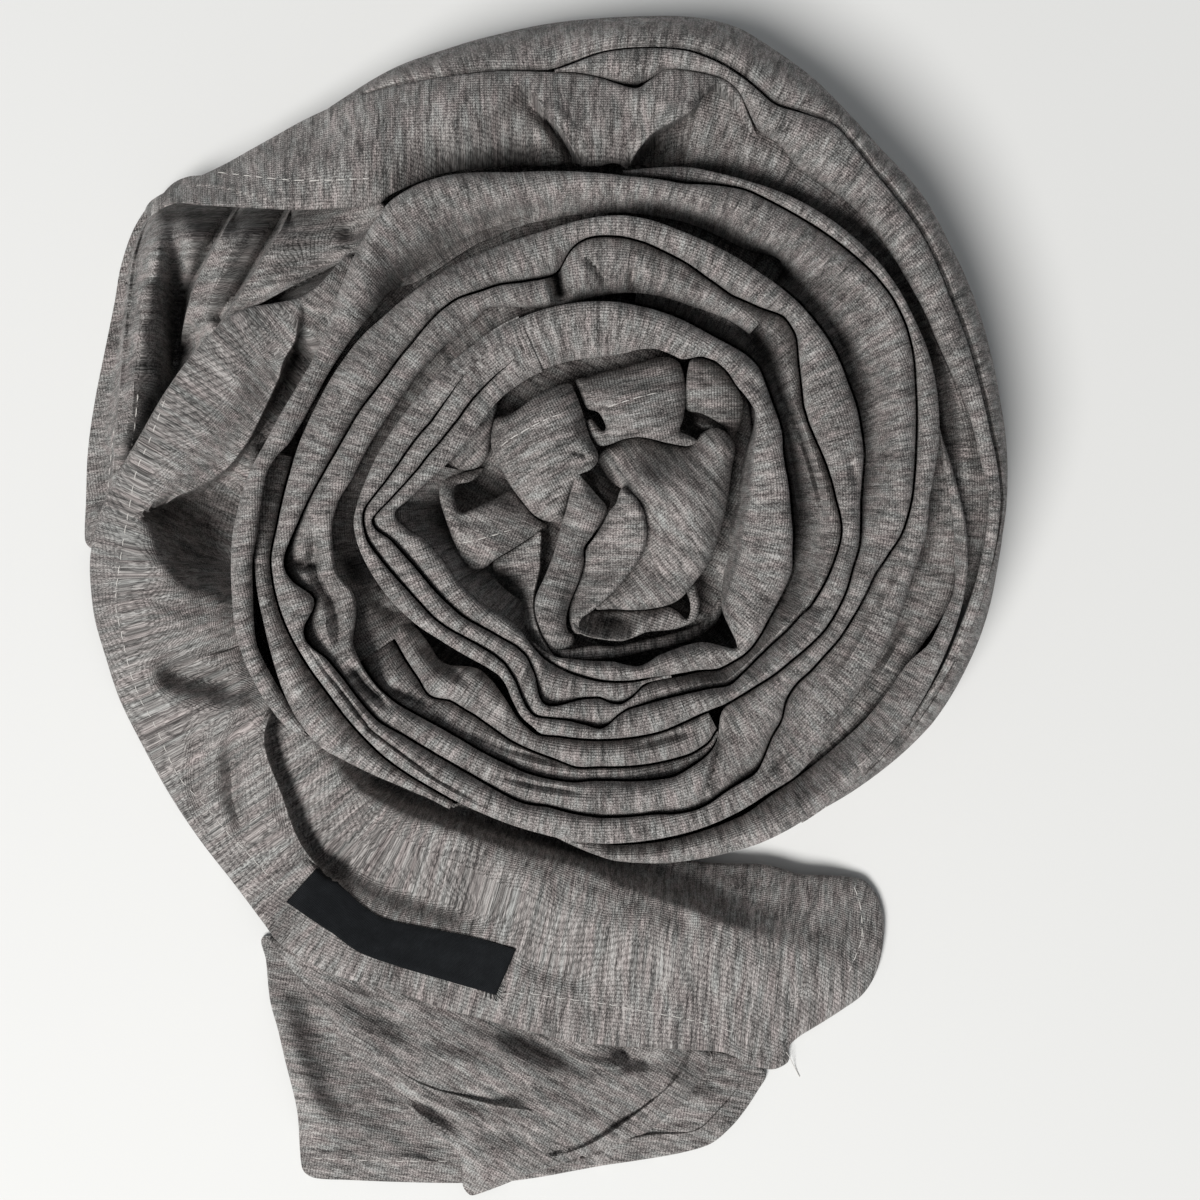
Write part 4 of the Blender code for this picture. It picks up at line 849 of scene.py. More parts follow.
r_out = np.maximum(r_in + (r_out - r_in) * np.clip((turns - 300) / 26, 0.06, 1) ** 0.7, r_in + 3.0)
run = np.concatenate([[0], np.cumsum(np.radians(np.diff(turns)) * 420 * 0.245)])
rows = []
for q in np.linspace(0, 1, 5)[:-1]:              # hidden inner face, from its foot to the rim
    rows.append((r_in - 0.4, 17.6 * (z_rim > 20) + 2 * (z_rim <= 20) + q * (z_rim - 1.6 - 17.6 * (z_rim > 20) - 2 * (z_rim <= 20))))
for f in np.linspace(0, 1, 14):                  # over the rim and out to the widest point
    s = math.sin(f * math.pi / 2)
    w = r_out - r_in
    rise = np.where(f < 0.18, (f / 0.18), 1.0)
    rr = r_in + w * (f ** 0.85 if f < 1 else 1.0)
    zz = z_rim - (z_rim - z_wide) * (1 - np.sqrt(max(1 - (max(f - 0.12, 0) / 0.88) ** 2.3, 0.0))) - 1.6 * (1 - min(1, f / 0.12)) ** 2
    rows.append((rr, zz))
for q in (0.25, 0.5, 0.72, 0.88, 1.0):           # and down its side, tucked in at the foot
    rows.append((r_out * (1 - 0.024 * q ** 1.6), z_wide * (1 - q) + 1.0 * q))
R = np.stack([q[0] for q in rows], 1)
Z = np.stack([np.broadcast_to(q[1], turns.shape) for q in rows], 1)
T = np.repeat(turns[:, None], R.shape[1], 1)
V = np.repeat(run[:, None], R.shape[1], 1)
lift = np.clip((Z - 1.0) / 12.0, 0, 1)
Z = Z + lift * (0.5 * lumps(V / 15.0, Z / 9.0) + 0.25 * ripples(V / 6.0, Z / 4.0))
side_waves = 1.1 * lumps(V / 26.0 + 3, Z / 14.0) + 0.8 * ripples(V / 11.0, Z / 22.0 + 4)
R = R + np.where(np.arange(R.shape[1]) > 17, 1, 0)[None] * side_waves * np.clip(Z / 10.0, 0.3, 1)
k = step(Z)
seg = np.hypot(np.diff(R, axis=1) * k[:, 1:], np.diff(Z, axis=1))
U = -np.concatenate([np.zeros((len(turns), 1)), np.cumsum(seg, 1)], 1)
X, Y = to_xy(T, R)
Z = Z + marked((("dip@", ((308, 386), (320, 388), (332, 389), (344, 390), (352, 393)), 1.6, 2.4),
                ("dip@", ((306, 383), (320, 383), (334, 384), (342, 386)), 1.4, 1.6), ("dip@", ((50, 436), (58, 444), (64, 452)), 8, 0.8), ("dip", ((700, 36), (730, 52), (760, 78)), 10, -0.7),
                ("dip", ((470, 60), (520, 52), (570, 44)), 9, 1.0)), X, Y) * lift
Xi, Yi = to_xy(T, R - 0.0)
ax, ay = (X - ROLL[0]), (Y - ROLL[1])
rad = np.hypot(ax, ay)
shrink = np.where(np.arange(R.shape[1])[None] < 5, -1.0, 1.0) * 1.0 / k
Ti = R + np.where(np.arange(R.shape[1])[None] < 5, 4.0, -4.0)
Xi, Yi = to_xy(T, Ti)
Zi = np.where(np.arange(R.shape[1])[None] < 18, Z - 1.0, Z)
Zi = np.maximum(Zi, 0.4)
outside, inside = place(X, Y, Z), place(Xi, Yi, Zi)[:, ::-1]
verts = np.concatenate([outside, inside], 1)
cloth = np.stack([U, V, np.full(U.shape, 333.0)], -1) * MM
cloth = np.concatenate([cloth, cloth[:, ::-1]], 1)
wrap = make("outer_wrap", verts.reshape(-1, 3), [f[::-1] for f in ring_faces(*verts.shape[:2])], cloth.reshape(-1, 3), "outer_wrap")

# ---------------------------------------------------------------- hidden layers
RIM_STEPS = ((0.0, 354), (0.4, 357), (2.2, 362), (4.2, 364), (6.2, 365), (7.8, 363), (8.3, 357), (8.8, 355), (9.4, 358), (10.6, 360),
             (12.2, 359), (13.6, 356), (14.6, 351), (14.7, 348), (14.9, 340), (15.2, 330), (15.6, 322), (17.0, 321), (19.0, 323), (20.6, 322), (21.4, 317),
             (21.8, 312), (23.2, 313), (25.0, 311), (26.4, 306), (27.3, 297), (27.8, 285))
turns = np.arange(0, 360, 1.5)
rows_r = np.array([[r for z, r in RIM_STEPS]] * len(turns), float)
rows_z = np.array([[z for z, r in RIM_STEPS]] * len(turns), float)
T = np.repeat(turns[:, None], rows_r.shape[1], 1)
a = np.radians(T)
soft = np.clip(rows_z / 4.0, 0, 1)
wavy = 1.8 * lumps(8 + 5.5 * np.cos(a) + rows_z / 16, 8 + 5.5 * np.sin(a)) + 1.1 * ripples(20 + 14 * np.cos(a) + rows_z / 8, 20 + 14 * np.sin(a))
rows_r = rows_r + wavy * soft
rows_z = rows_z + soft * 0.35 * ripples(30 + 11 * np.cos(a), 30 + 11 * np.sin(a) + rows_z / 5)
# on the near side the roll's wall runs on down below its outermost folds
reach = np.array([max([float(np.max(r[near])) for t, r in RIMS for near in [np.abs((t - q + 180) % 360 - 180) < 1.1] if near.any()] or [352.0])
                  for q in turns])
wall = np.clip((turns - 168) / 10, 0, 1) * np.clip((332 - turns) / 10, 0, 1)
wall = (wall * wall * (3 - 2 * wall))[:, None]
n_wall = sum(1 for z, r in RIM_STEPS if z < 14.65)
up = np.array([z for z, r in RIM_STEPS[:n_wall]]) * 29.4 / 14.6
rows_z[:, :n_wall] = (1 - wall) * rows_z[:, :n_wall] + wall * up[None]
rows_r[:, :n_wall] = (1 - wall) * rows_r[:, :n_wall] + wall * (reach[:, None] - 3.2 - 1.6 * (1 - up[None] / 29.4) + 0.5 * ripples(12 * np.cos(a[:, :n_wall]), 12 * np.sin(a[:, :n_wall]) + up[None] / 9))
for q, z_, back in ((n_wall, 29.3, 7.0), (n_wall + 1, 15.4, 9.0)):
    rows_z[:, q] = (1 - wall[:, 0]) * rows_z[:, q] + wall[:, 0] * z_
    rows_r[:, q] = (1 - wall[:, 0]) * rows_r[:, q] + wall[:, 0] * np.maximum(reach - back, 331.0)
inner_r = np.array([270, 250, 232, 214, 198, 182, 166, 150, 134, 118, 102, 86, 70, 54, 38, 22, 8], float)
ridge = np.where(np.arange(len(inner_r)) % 2 == 0, 27.9, 26.6)
add_r = np.repeat(inner_r[None], len(turns), 0) + 1.2 * lumps(5 * np.cos(a[:, :1]) + 9, 5 * np.sin(a[:, :1]) + inner_r[None] / 30)
add_z = np.repeat(ridge[None], len(turns), 0) + 0.3 * ripples(9 * np.cos(a[:, :1]) + 9, 9 * np.sin(a[:, :1]) + inner_r[None] / 20)
under_r = np.array([8, 60, 120, 180, 240, 300, 340], float)
low_r = np.repeat(under_r[None], len(turns), 0)
rows_r = np.concatenate([low_r, rows_r, add_r], 1)
rows_z = np.concatenate([np.zeros(low_r.shape), rows_z, add_z], 1)
T = np.repeat(turns[:, None], rows_r.shape[1], 1)
X, Y = to_xy(T, rows_r)
P = place(X, Y, rows_z)
n, m = P.shape[:2]
faces = [((i * m + j), (i * m + j + 1), (((i + 1) % n) * m + j + 1), (((i + 1) % n) * m + j)) for i in range(n) for j in range(m - 1)]
faces.append(tuple(i * m for i in range(n)))
faces.append(tuple((n - 1 - i) * m + m - 1 for i in range(n)))
V = np.radians(T) * 330 * 0.26
U = np.concatenate([np.zeros((n, 1)), np.cumsum(np.hypot(np.diff(rows_r, axis=1) * 0.26, np.diff(rows_z, axis=1)), 1)], 1)
cloth = np.stack([U, V, np.full(U.shape, 370.0)], -1) * MM
make("inner_layers", P.reshape(-1, 3), [f[::-1] for f in faces], cloth.reshape(-1, 3), "inner_layers", sharp=60)

# ---------------------------------------------------------------- eye of the roll
cut("petal_left", ((496, 418), (508, 415), (520, 408), (533, 398), (546, 390), (558, 385), (571, 384), (574, 390), (579, 402),
                   (584, 417), (590, 437), (597, 451), (598, 461), (590, 470), (579, 475), (571, 490), (566, 510), (561, 521),
                   (546, 521), (533, 514), (523, 503), (514, 491), (507, 480), (500, 467), (495, 457), (491, 445), (492, 430)),
    ((500, 432, 52), (508, 460, 51), (523, 495, 50), (548, 515, 51), (520, 425, 56), (535, 455, 57), (548, 480, 54),
     (550, 400, 56.5), (560, 430, 58), (572, 460, 56), (565, 490, 53), (571, 390, 53), (582, 425, 56), (592, 455, 56)),
    foot=FOOT_IN, spacing=3.0, rim=(20, 6.5), grain=118, layer=9, edge_fall=((586, 464, 14, -6.0), (580, 400, 14, -3.0)), node="petal_left",
    marks=(("dip", ((571, 452), (580, 453), (588, 459)), 3.0, 2.6), ("dip", ((573, 463), (560, 484), (549, 506)), 7, 1.6),
           ("dip", ((504, 424), (510, 440), (520, 462)), 6, -0.6), ("dip", ((575, 448), (566, 452)), 4, 1.0)))
cut("strip_down", ((577, 474), (585, 481), (597, 495), (607, 508), (602, 521), (592, 536), (584, 548), (584, 562), (579, 580),
                   (573, 595), (568, 609), (566, 622), (568, 631), (574, 637), (570, 648), (555, 651), (545, 640), (539, 626),
                   (535, 611), (536, 596), (545, 576), (553, 556), (558, 538), (562, 523), (566, 510), (571, 490)),
    ((580, 480, 52), (596, 502, 53), (575, 510, 54.5), (590, 530, 54), (565, 545, 54), (576, 560, 53), (556, 580, 55),
     (568, 595, 52), (548, 612, 55), (560, 620, 53), (552, 640, 52), (566, 645, 49)),
    foot=FOOT_IN, spacing=3.0, rim=(12, 5.5), grain=75, layer=10, edge_fall=((578, 476, 14, -5.5),), node="strip_down",
    marks=(("dip", ((567, 524), (572, 505), (578, 484)), 4, 1.4), ("dip", ((577, 566), (570, 590), (563, 612)), 5, 1.6),
           ("dip", ((560, 540), (552, 565), (543, 592)), 6, -0.7), ("dip", ((556, 641), (568, 640)), 3, 1.6)))
cut("petal_top", ((576, 380), (590, 377), (602, 373), (624, 368), (642, 362), (662, 357), (672, 358), (680, 364), (684, 377),
                  (686, 391), (685, 407), (683, 419), (680, 431), (690, 436), (697, 441), (688, 446), (668, 443), (652, 439),
                  (639, 437), (624, 439), (611, 444), (601, 446), (594, 442), (588, 432), (586, 422), (591, 419), (597, 426),
                  (603, 431), (606, 428), (604, 421), (598, 412), (588, 409), (584, 403), (579, 391)),
    ((580, 384, 50), (602, 380, 52), (642, 370, 52), (674, 366, 52), (600, 400, 55), (640, 395, 57.5), (676, 390, 55),
     (612, 425, 57), (650, 420, 58.5), (676, 425, 56), (640, 434, 57.5), (608, 438, 56), (592, 436, 52), (690, 441, 54), (665, 438, 57)),
    foot=FOOT_IN, spacing=3.0, rim=(16, 5.0), grain=101, layer=11, edge_fall=((650, 440, 30, -2.0),), node="petal_top",
    marks=(("dip", ((606, 388), (640, 379), (676, 372)), 7, 0.7), ("dip", ((610, 404), (640, 394), (672, 386)), 2.5, 0.8),
           ("dip", ((596, 392), (600, 402), (608, 414)), 7, 1.0), ("dip", ((640, 412), (668, 408)), 9, 0.5)))
cut("petal_right", ((690, 361), (698, 358), (711, 361), (723, 369), (736, 387), (743, 401), (742, 415), (738, 430), (731, 438),
                    (725, 428), (713, 419), (700, 413), (687, 410), (685, 396), (686, 381)),
    ((694, 366, 50), (715, 368, 50), (738, 400, 47), (700, 385, 54), (720, 395, 52), (700, 408, 51), (722, 418, 49), (735, 428, 45)),
    foot=FOOT_IN, spacing=3.0, rim=(10, 4.0), grain=91, layer=12, node="petal_right",
    marks=(("dip", ((692, 377), (706, 379)), 3, 0.8), ("dip", ((690, 384), (712, 382)), 2.5, 0.7)))
cut("lobe_large", ((597, 452), (611, 445), (624, 440), (639, 438), (652, 440), (668, 444), (688, 447), (696, 440), (702, 433),
                   (713, 428), (724, 431), (731, 438), (735, 450), (732, 467), (728, 497), (723, 522), (716, 545), (708, 564),
                   (694, 583), (681, 598), (668, 605), (649, 609), (631, 610), (611, 609), (596, 609), (604, 598), (617, 584),
                   (629, 568), (639, 552), (643, 538), (643, 522), (639, 508), (632, 497), (622, 489), (612, 482), (603, 471), (598, 462)),
    ((606, 452, 43), (610, 468, 42), (622, 484, 47), (640, 448, 46), (668, 452, 47), (700, 450, 51.5), (716, 434, 54), (726, 445, 55),
     (728, 470, 55), (640, 470, 53), (625, 470, 48), (660, 478, 56), (690, 480, 57.5), (640, 490, 56.5), (652, 510, 56.5), (700, 510, 58.5), (720, 515, 56),
     (690, 545, 58), (665, 540, 56), (650, 535, 54.5), (652, 560, 51.5), (670, 572, 53), (690, 575, 55), (640, 585, 52.5), (625, 595, 52.5),
     (650, 600, 54.5), (672, 597, 54.5), (612, 603, 51)),
    foot=FOOT_IN, spacing=3.2, rim=(18, 6.5), grain=38, layer=13, edge_fall=((650, 440, 40, -3.0), (625, 475, 25, -5.0), (640, 530, 25, -5.0)), node="lobe_large",
    marks=(("ply", ((698, 448), (670, 446), (640, 441), (615, 447)), 4, 2.0, 9), ("dip", ((645, 566), (665, 578), (688, 588)), 9, 1.0),
           ("dip", ((646, 470), (640, 486), (634, 494)), 6, -1.4), ("dip", ((650, 505), (652, 525), (650, 545)), 5, 0.8),
           ("dip", ((655, 552), (680, 556), (704, 552)), 8, 0.7), ("dip", ((700, 446), (716, 442), (728, 452)), 5, -0.9)))
cut("leaf", ((622, 488), (632, 494), (638, 500), (643, 510), (646, 522), (647, 535), (645, 546), (637, 563), (626, 577), (615, 590),
             (602, 602), (592, 611), (582, 618), (580, 625), (583, 633), (575, 633), (570, 626), (569, 613), (573, 598), (580, 582),
             (585, 566), (586, 550), (594, 538), (603, 524), (609, 512), (616, 503)),
    ((624, 496, 55), (636, 510, 57.5), (642, 530, 57.5), (634, 552, 57), (615, 575, 56), (598, 595, 55), (582, 612, 53.5),
     (610, 520, 53.5), (622, 530, 55), (600, 545, 52.5), (590, 560, 50), (610, 560, 53.5), (588, 585, 50.5), (577, 605, 48.5), (576, 628, 49)),
    foot=FOOT_IN, spacing=3.0, rim=(8, 4.0), grain=88, layer=14, edge_fall=((590, 550, 18, -3.0), (576, 600, 18, -3.0)), rests="lobe_large",
    marks=(("dip", ((588, 560), (584, 585), (575, 608)), 6, 1.8), ("dip", ((600, 556), (612, 566), (622, 572)), 8, 0.7),
           ("dip", ((604, 530), (590, 552)), 4, 1.0)))
cut("strip_left", ((477, 469), (462, 473), (447, 477), (440, 485), (440, 500), (445, 517), (452, 537), (457, 549), (463, 561),
                   (471, 569), (484, 568), (494, 560), (509, 551), (531, 537), (547, 527), (536, 518), (528, 509), (520, 499),
                   (513, 490), (495, 499), (477, 507), (462, 513), (456, 506), (454, 494), (457, 485), (469, 482), (477, 477), (484, 468)),
    ((480, 472, 40), (450, 480, 44), (445, 500, 48), (450, 520, 50), (462, 545, 50), (474, 562, 47), (490, 552, 50), (510, 540, 49),
     (536, 526, 45), (480, 520, 52), (500, 510, 50), (515, 500, 45), (495, 530, 51.5), (520, 520, 47)),
    foot=FOOT_IN, spacing=3.0, rim=(5, 2.6), grain=66, layer=15, node="strip_left",
    marks=(("dip", ((462, 543), (480, 539), (492, 536), (508, 530)), 2.4, 0.8), ("dip", ((470, 524), (500, 516)), 6, 0.5)))
cut("tuck", ((581, 617), (592, 611), (611, 610), (631, 611), (649, 610), (668, 607), (678, 612), (686, 619), (690, 613), (690, 602),
             (687, 591), (694, 584), (698, 594), (700, 605), (697, 618), (689, 624), (675, 629), (647, 632), (637, 636), (621, 641),
             (593, 638), (579, 633), (572, 624)),
    ((575, 624, 49), (592, 620, 44), (610, 620, 40), (630, 618, 42), (600, 634, 48), (622, 638, 50), (645, 622, 49), (660, 616, 50),
     (675, 620, 49), (672, 628, 48), (640, 632, 49), (695, 612, 48), (696, 595, 47), (655, 611, 46)),
    foot=FOOT_IN, spacing=2.6, rim=(3.4, 2.0), grain=160, layer=16, node="tuck",
    marks=(("dip", ((588, 624), (612, 624), (630, 620)), 6, 4.0), ("dip", ((639, 632), (646, 620), (657, 613)), 3, -1.6)))
cut("inner_ridge", ((545, 641), (556, 648), (572, 649), (590, 646), (617, 646), (640, 641), (675, 633), (700, 623), (711, 610),
                    (718, 598), (724, 602), (717, 622), (700, 636), (675, 645), (650, 650), (630, 655), (610, 658), (585, 660),
                    (565, 658), (550, 650)),
    ((550, 645, 48), (585, 654, 48), (617, 652, 46.5), (650, 645, 44), (690, 634, 40), (718, 606, 38)),
    foot=FOOT_IN, spacing=3.0, rim=(4, 2.2), grain=5, layer=17)
cut("fold_cloth", ((494, 562), (509, 552), (531, 538), (541, 532), (541, 556), (540, 571), (535, 592), (534, 608), (538, 627),
                   (546, 644), (556, 658), (566, 668), (560, 673), (546, 662), (534, 644), (524, 622), (514, 604), (502, 588), (494, 574)),
    ((500, 565, 44), (520, 552, 45), (536, 545, 46), (516, 575, 42), (505, 580, 34), (528, 578, 45), (530, 600, 48), (518, 600, 38),
     (530, 625, 49), (545, 648, 49), (560, 668, 49)),
    foot=FOOT_IN, spacing=3.0, rim=(4, 2.0), grain=98, layer=18,
    marks=(("dip", ((520, 590), (522, 604), (528, 620)), 5, 3.0),))
cut("ledge", ((497, 404), (495, 414), (493, 423), (490, 445), (488, 454), (482, 464), (474, 469), (456, 473), (442, 477), (430, 490),
              (424, 486), (440, 462), (458, 440), (474, 420), (488, 404)),
    ((490, 410, 48), (480, 430, 47), (484, 450, 44), (470, 460, 43), (450, 470, 42), (460, 445, 47), (432, 484, 40)),
    foot=FOOT_IN, spacing=3.4, rim=(6, 3.0), grain=135, layer=19)
cut("eye_floor", ((480, 420), (530, 372), (620, 345), (700, 350), (745, 395), (752, 470), (742, 560), (712, 625), (650, 654),
                  (585, 664), (530, 650), (490, 600), (455, 545), (440, 490)),
    lambda x, y: 36.0 + 0 * x, foot=FOOT_IN, spacing=5.0, rim=(10, 4.0), grain=60, layer=20, wobble=2.0,
    marks=(("dip", ((470, 490), (495, 488)), 16, 9.0), ("dip", ((500, 590), (512, 600)), 12, 6.0),
           ("dip", ((598, 486), (608, 498)), 10, -7.0), ("dip", ((700, 424), (722, 432)), 8, -7.0),
           ("dip", ((742, 450), (738, 520), (724, 580)), 7, -5.0), ("dip", ((680, 640), (640, 650)), 10, 5)))

# ---------------------------------------------------------------- far hem and left side
flap = [(748, 176, 30), (742, 150, 39), (735, 120, 43), (712, 158, 31), (708, 138, 41), (704, 106, 46.5), (700, 80, 45),
        (664, 104, 46.5), (662, 80, 44), (648, 122, 44), (640, 100, 47), (612, 158, 41), (600, 160, 41), (606, 140, 46), (616, 120, 47.5), (618, 96, 45),
        (586, 130, 47), (572, 112, 47), (568, 82, 44), (548, 120, 47), (540, 150, 39), (520, 166, 32), (528, 138, 40), (520, 108, 47), (512, 78, 44),
        (478, 166, 34), (470, 140, 43), (458, 110, 47), (450, 84, 43), (436, 170, 35), (408, 180, 37), (400, 152, 45), (386, 124, 45),
        (372, 98, 37), (366, 202, 39), (344, 176, 43), (318, 150, 37), (296, 128, 24), (300, 206, 38), (276, 186, 37),
        (248, 168, 28), (228, 156, 14), (236, 204, 35), (214, 192, 31), (190, 186, 22), (168, 184, 9), (178, 202, 29),
        (164, 202, 25), (152, 204, 17), (142, 207, 6)]
FLAP_EDGE = ((150, 216), (163, 208), (178, 203), (200, 205), (250, 208), (300, 210), (340, 208), (377, 205), (388, 196), (400, 190),
             (425, 179), (450, 172), (475, 169), (500, 167), (520, 165), (546, 166), (572, 163), (586, 166), (600, 166), (612, 163),
             (630, 166), (650, 168), (672, 171), (692, 174), (710, 177), (724, 180),
             (740, 178), (752, 182), (772, 158), (757, 133), (748, 112), (740, 94), (725, 80), (700, 73), (668, 69), (650, 80), (637, 88),
             (618, 84), (600, 78), (575, 73), (548, 72), (500, 71), (450, 76), (425, 80), (400, 85), (375, 91), (350, 99), (325, 110),
             (300, 122), (275, 136), (250, 150), (225, 164), (200, 176), (175, 187), (152, 200), (145, 210))
cut("top_flap", FLAP_EDGE, flap, thick=1.2, spacing=4.0, rim=(5, 1.6), grain=0, layer=21, node="top_flap", drape=(0.0, -0.3), held="folded", rests="outer_wrap",
    marks=(("ply", ((532, 98), (549, 118), (564, 138), (580, 166)), 5, 13.0, 34),
           ("dip", ((536, 112), (552, 126), (565, 144), (580, 166)), 5.5, 9.0), ("dip", ((552, 108), (568, 122), (580, 142)), 7, -1.8),
           ("dip", ((650, 158), (668, 148), (690, 142), (708, 150)), 9, 5.0),
           ("ply", ((630, 168), (641, 148), (656, 132), (676, 121), (694, 110), (706, 96)), 4, 24.0, 32),
           ("dip", ((632, 156), (646, 138), (668, 122), (684, 104), (696, 86)), 7, -2.4),
           ("dip", ((640, 160), (655, 154), (668, 158)), 10, 6.0),
           ("dip", ((706, 128), (724, 118), (740, 110)), 10, 1.6),
           ("dip", ((722, 142), (745, 152), (758, 162)), 10, 1.8), ("dip", ((640, 98), (622, 118), (604, 140)), 10, 1.6),
           ("dip", ((662, 84), (652, 100), (648, 116)), 7, 1.0), ("dip", ((574, 96), (590, 112), (600, 132)), 9, 0.9),
           ("dip", ((420, 180), (460, 172), (510, 166), (560, 164)), 15, 7.0), ("dip", ((466, 120), (476, 134), (492, 150)), 10, 0.8),
           ("dip", ((404, 96), (402, 130), (396, 160)), 12, 0.7), ("dip", ((300, 172), (330, 168), (362, 160)), 10, -0.7),
           ("ply", ((163, 200), (178, 190), (200, 187), (225, 189), (250, 195), (300, 203)), 2.6, 1.2, 14)))

SIDE = [(240, 182, 3), (252, 196, 10), (300, 224, 33), (352, 226, 35), (196, 194, 3), (210, 206, 16), (262, 232, 35), (326, 262, 36),
        (144, 216, 3), (163, 224, 28), (226, 240, 37), (300, 300, 37), (130, 240, 3), (147, 250, 31), (196, 262, 34), (270, 316, 33),
        (122, 280, 3), (141, 290, 32), (170, 296, 28), (216, 320, 29), (113, 330, 3), (136, 335, 32), (160, 336, 28), (188, 345, 24),
        (104, 390, 3), (127, 392, 30), (141, 394, 28), (157, 396, 22), (96, 440, 3), (123, 441, 26), (130, 442, 25), (138, 443, 22),
        (90, 490, 3), (97, 490, 7), (117, 491, 18), (122, 492, 17), (88, 540, 3), (92, 540, 4), (95, 540, 4), (230, 300, 33), (240, 260, 35)]
cut("side_left", ((240, 168), (222, 176), (200, 181), (172, 192), (150, 205), (138, 221), (129, 240), (120, 270), (115, 300), (105, 350), (95, 400), (88, 450),
                  (86, 500), (85, 540), (92, 548), (100, 536), (112, 504), (128, 468), (150, 430), (172, 396), (196, 362), (222, 338), (252, 320),
                  (300, 310), (352, 280), (384, 224), (380, 200), (330, 196), (280, 190)),
    SIDE, thick=1.2, spacing=4.0, rim=(5, 1.6), grain=98, layer=22, node="side_left", drape=(1.0, 0.0), held="folded", rests="inner_layers",
    marks=(("ply", ((152, 214), (138, 236), (131, 265), (127, 300), (122, 350), (118, 400), (114, 450), (110, 496)), 4.0, 15.0, 26),
           ("dip", ((158, 214), (146, 240), (142, 300), (136, 360), (130, 420)), 9, -2.0),
           ("dip", ((172, 216), (174, 270), (176, 320), (176, 372), (160, 420)), 11, 14.0),
           ("dip", ((234, 210), (220, 228), (203, 258), (187, 291), (178, 330)), 4.5, 6.0),
           ("dip", ((287, 210), (277, 226), (260, 254), (242, 283), (222, 312)), 4.5, 6.5),
           ("ply", ((240, 206), (226, 226), (209, 256), (193, 289), (183, 327), (180, 362)), 4, 11.0, 22),
           ("dip", ((262, 212), (240, 240), (216, 284), (198, 330)), 8, -3.5),
           ("ply", ((292, 206), (283, 224), (266, 252), (248, 281), (224, 318)), 4, 10.0, 20),
           ("dip", ((312, 216), (286, 250), (258, 286)), 9, -1.6),
           ("dip", ((366, 248), (344, 260), (318, 274), (297, 285), (268, 302), (236, 318)), 7, 11.0),
           ("dip", ((200, 322), (190, 340), (182, 362)), 9, 9.0),
           ("dip", ((222, 330), (196, 360), (168, 398), (140, 446), (114, 506)), 13, 8.0),
           ("dip", ((352, 232), (374, 222)), 12, 6.0)))

# ---------------------------------------------------------------- free end
HEM = smooth_line(((330, 210), (262, 290), (225, 320), (200, 345), (160, 400), (120, 470), (95, 530), (90, 580), (105, 655), (145, 750), (200, 840),
                   (265, 925), (340, 977), (440, 1010), (540, 1036), (625, 1047), (720, 1055), (790, 1062), (900, 1072)), 24.0)


def tail_cloth(x, y):
    """Along the hem and across from it, in mm."""
    best, run_, side_ = np.full(x.shape, 1e9), np.zeros(x.shape), np.ones(x.shape)
    total = 0.0
    for (ax, ay), (bx, by) in zip(HEM[:-1], HEM[1:]):
        dx, dy = bx - ax, by - ay
        ln = math.hypot(dx, dy)
        s = ((x - ax) * dx + (y - ay) * dy) / ln
        c = np.clip(s, 0, ln)
        d = np.hypot(x - ax - c * dx / ln, y - ay - c * dy / ln)
        near = d < best
        best = np.where(near, d, best)
        run_ = np.where(near, total + c, run_)
        side_ = np.where(near, np.where(dx * (y - ay) - dy * (x - ax) >= 0, 1.0, -1.0), side_)
        total += ln
    return run_ * 0.256, best * side_ * 0.256


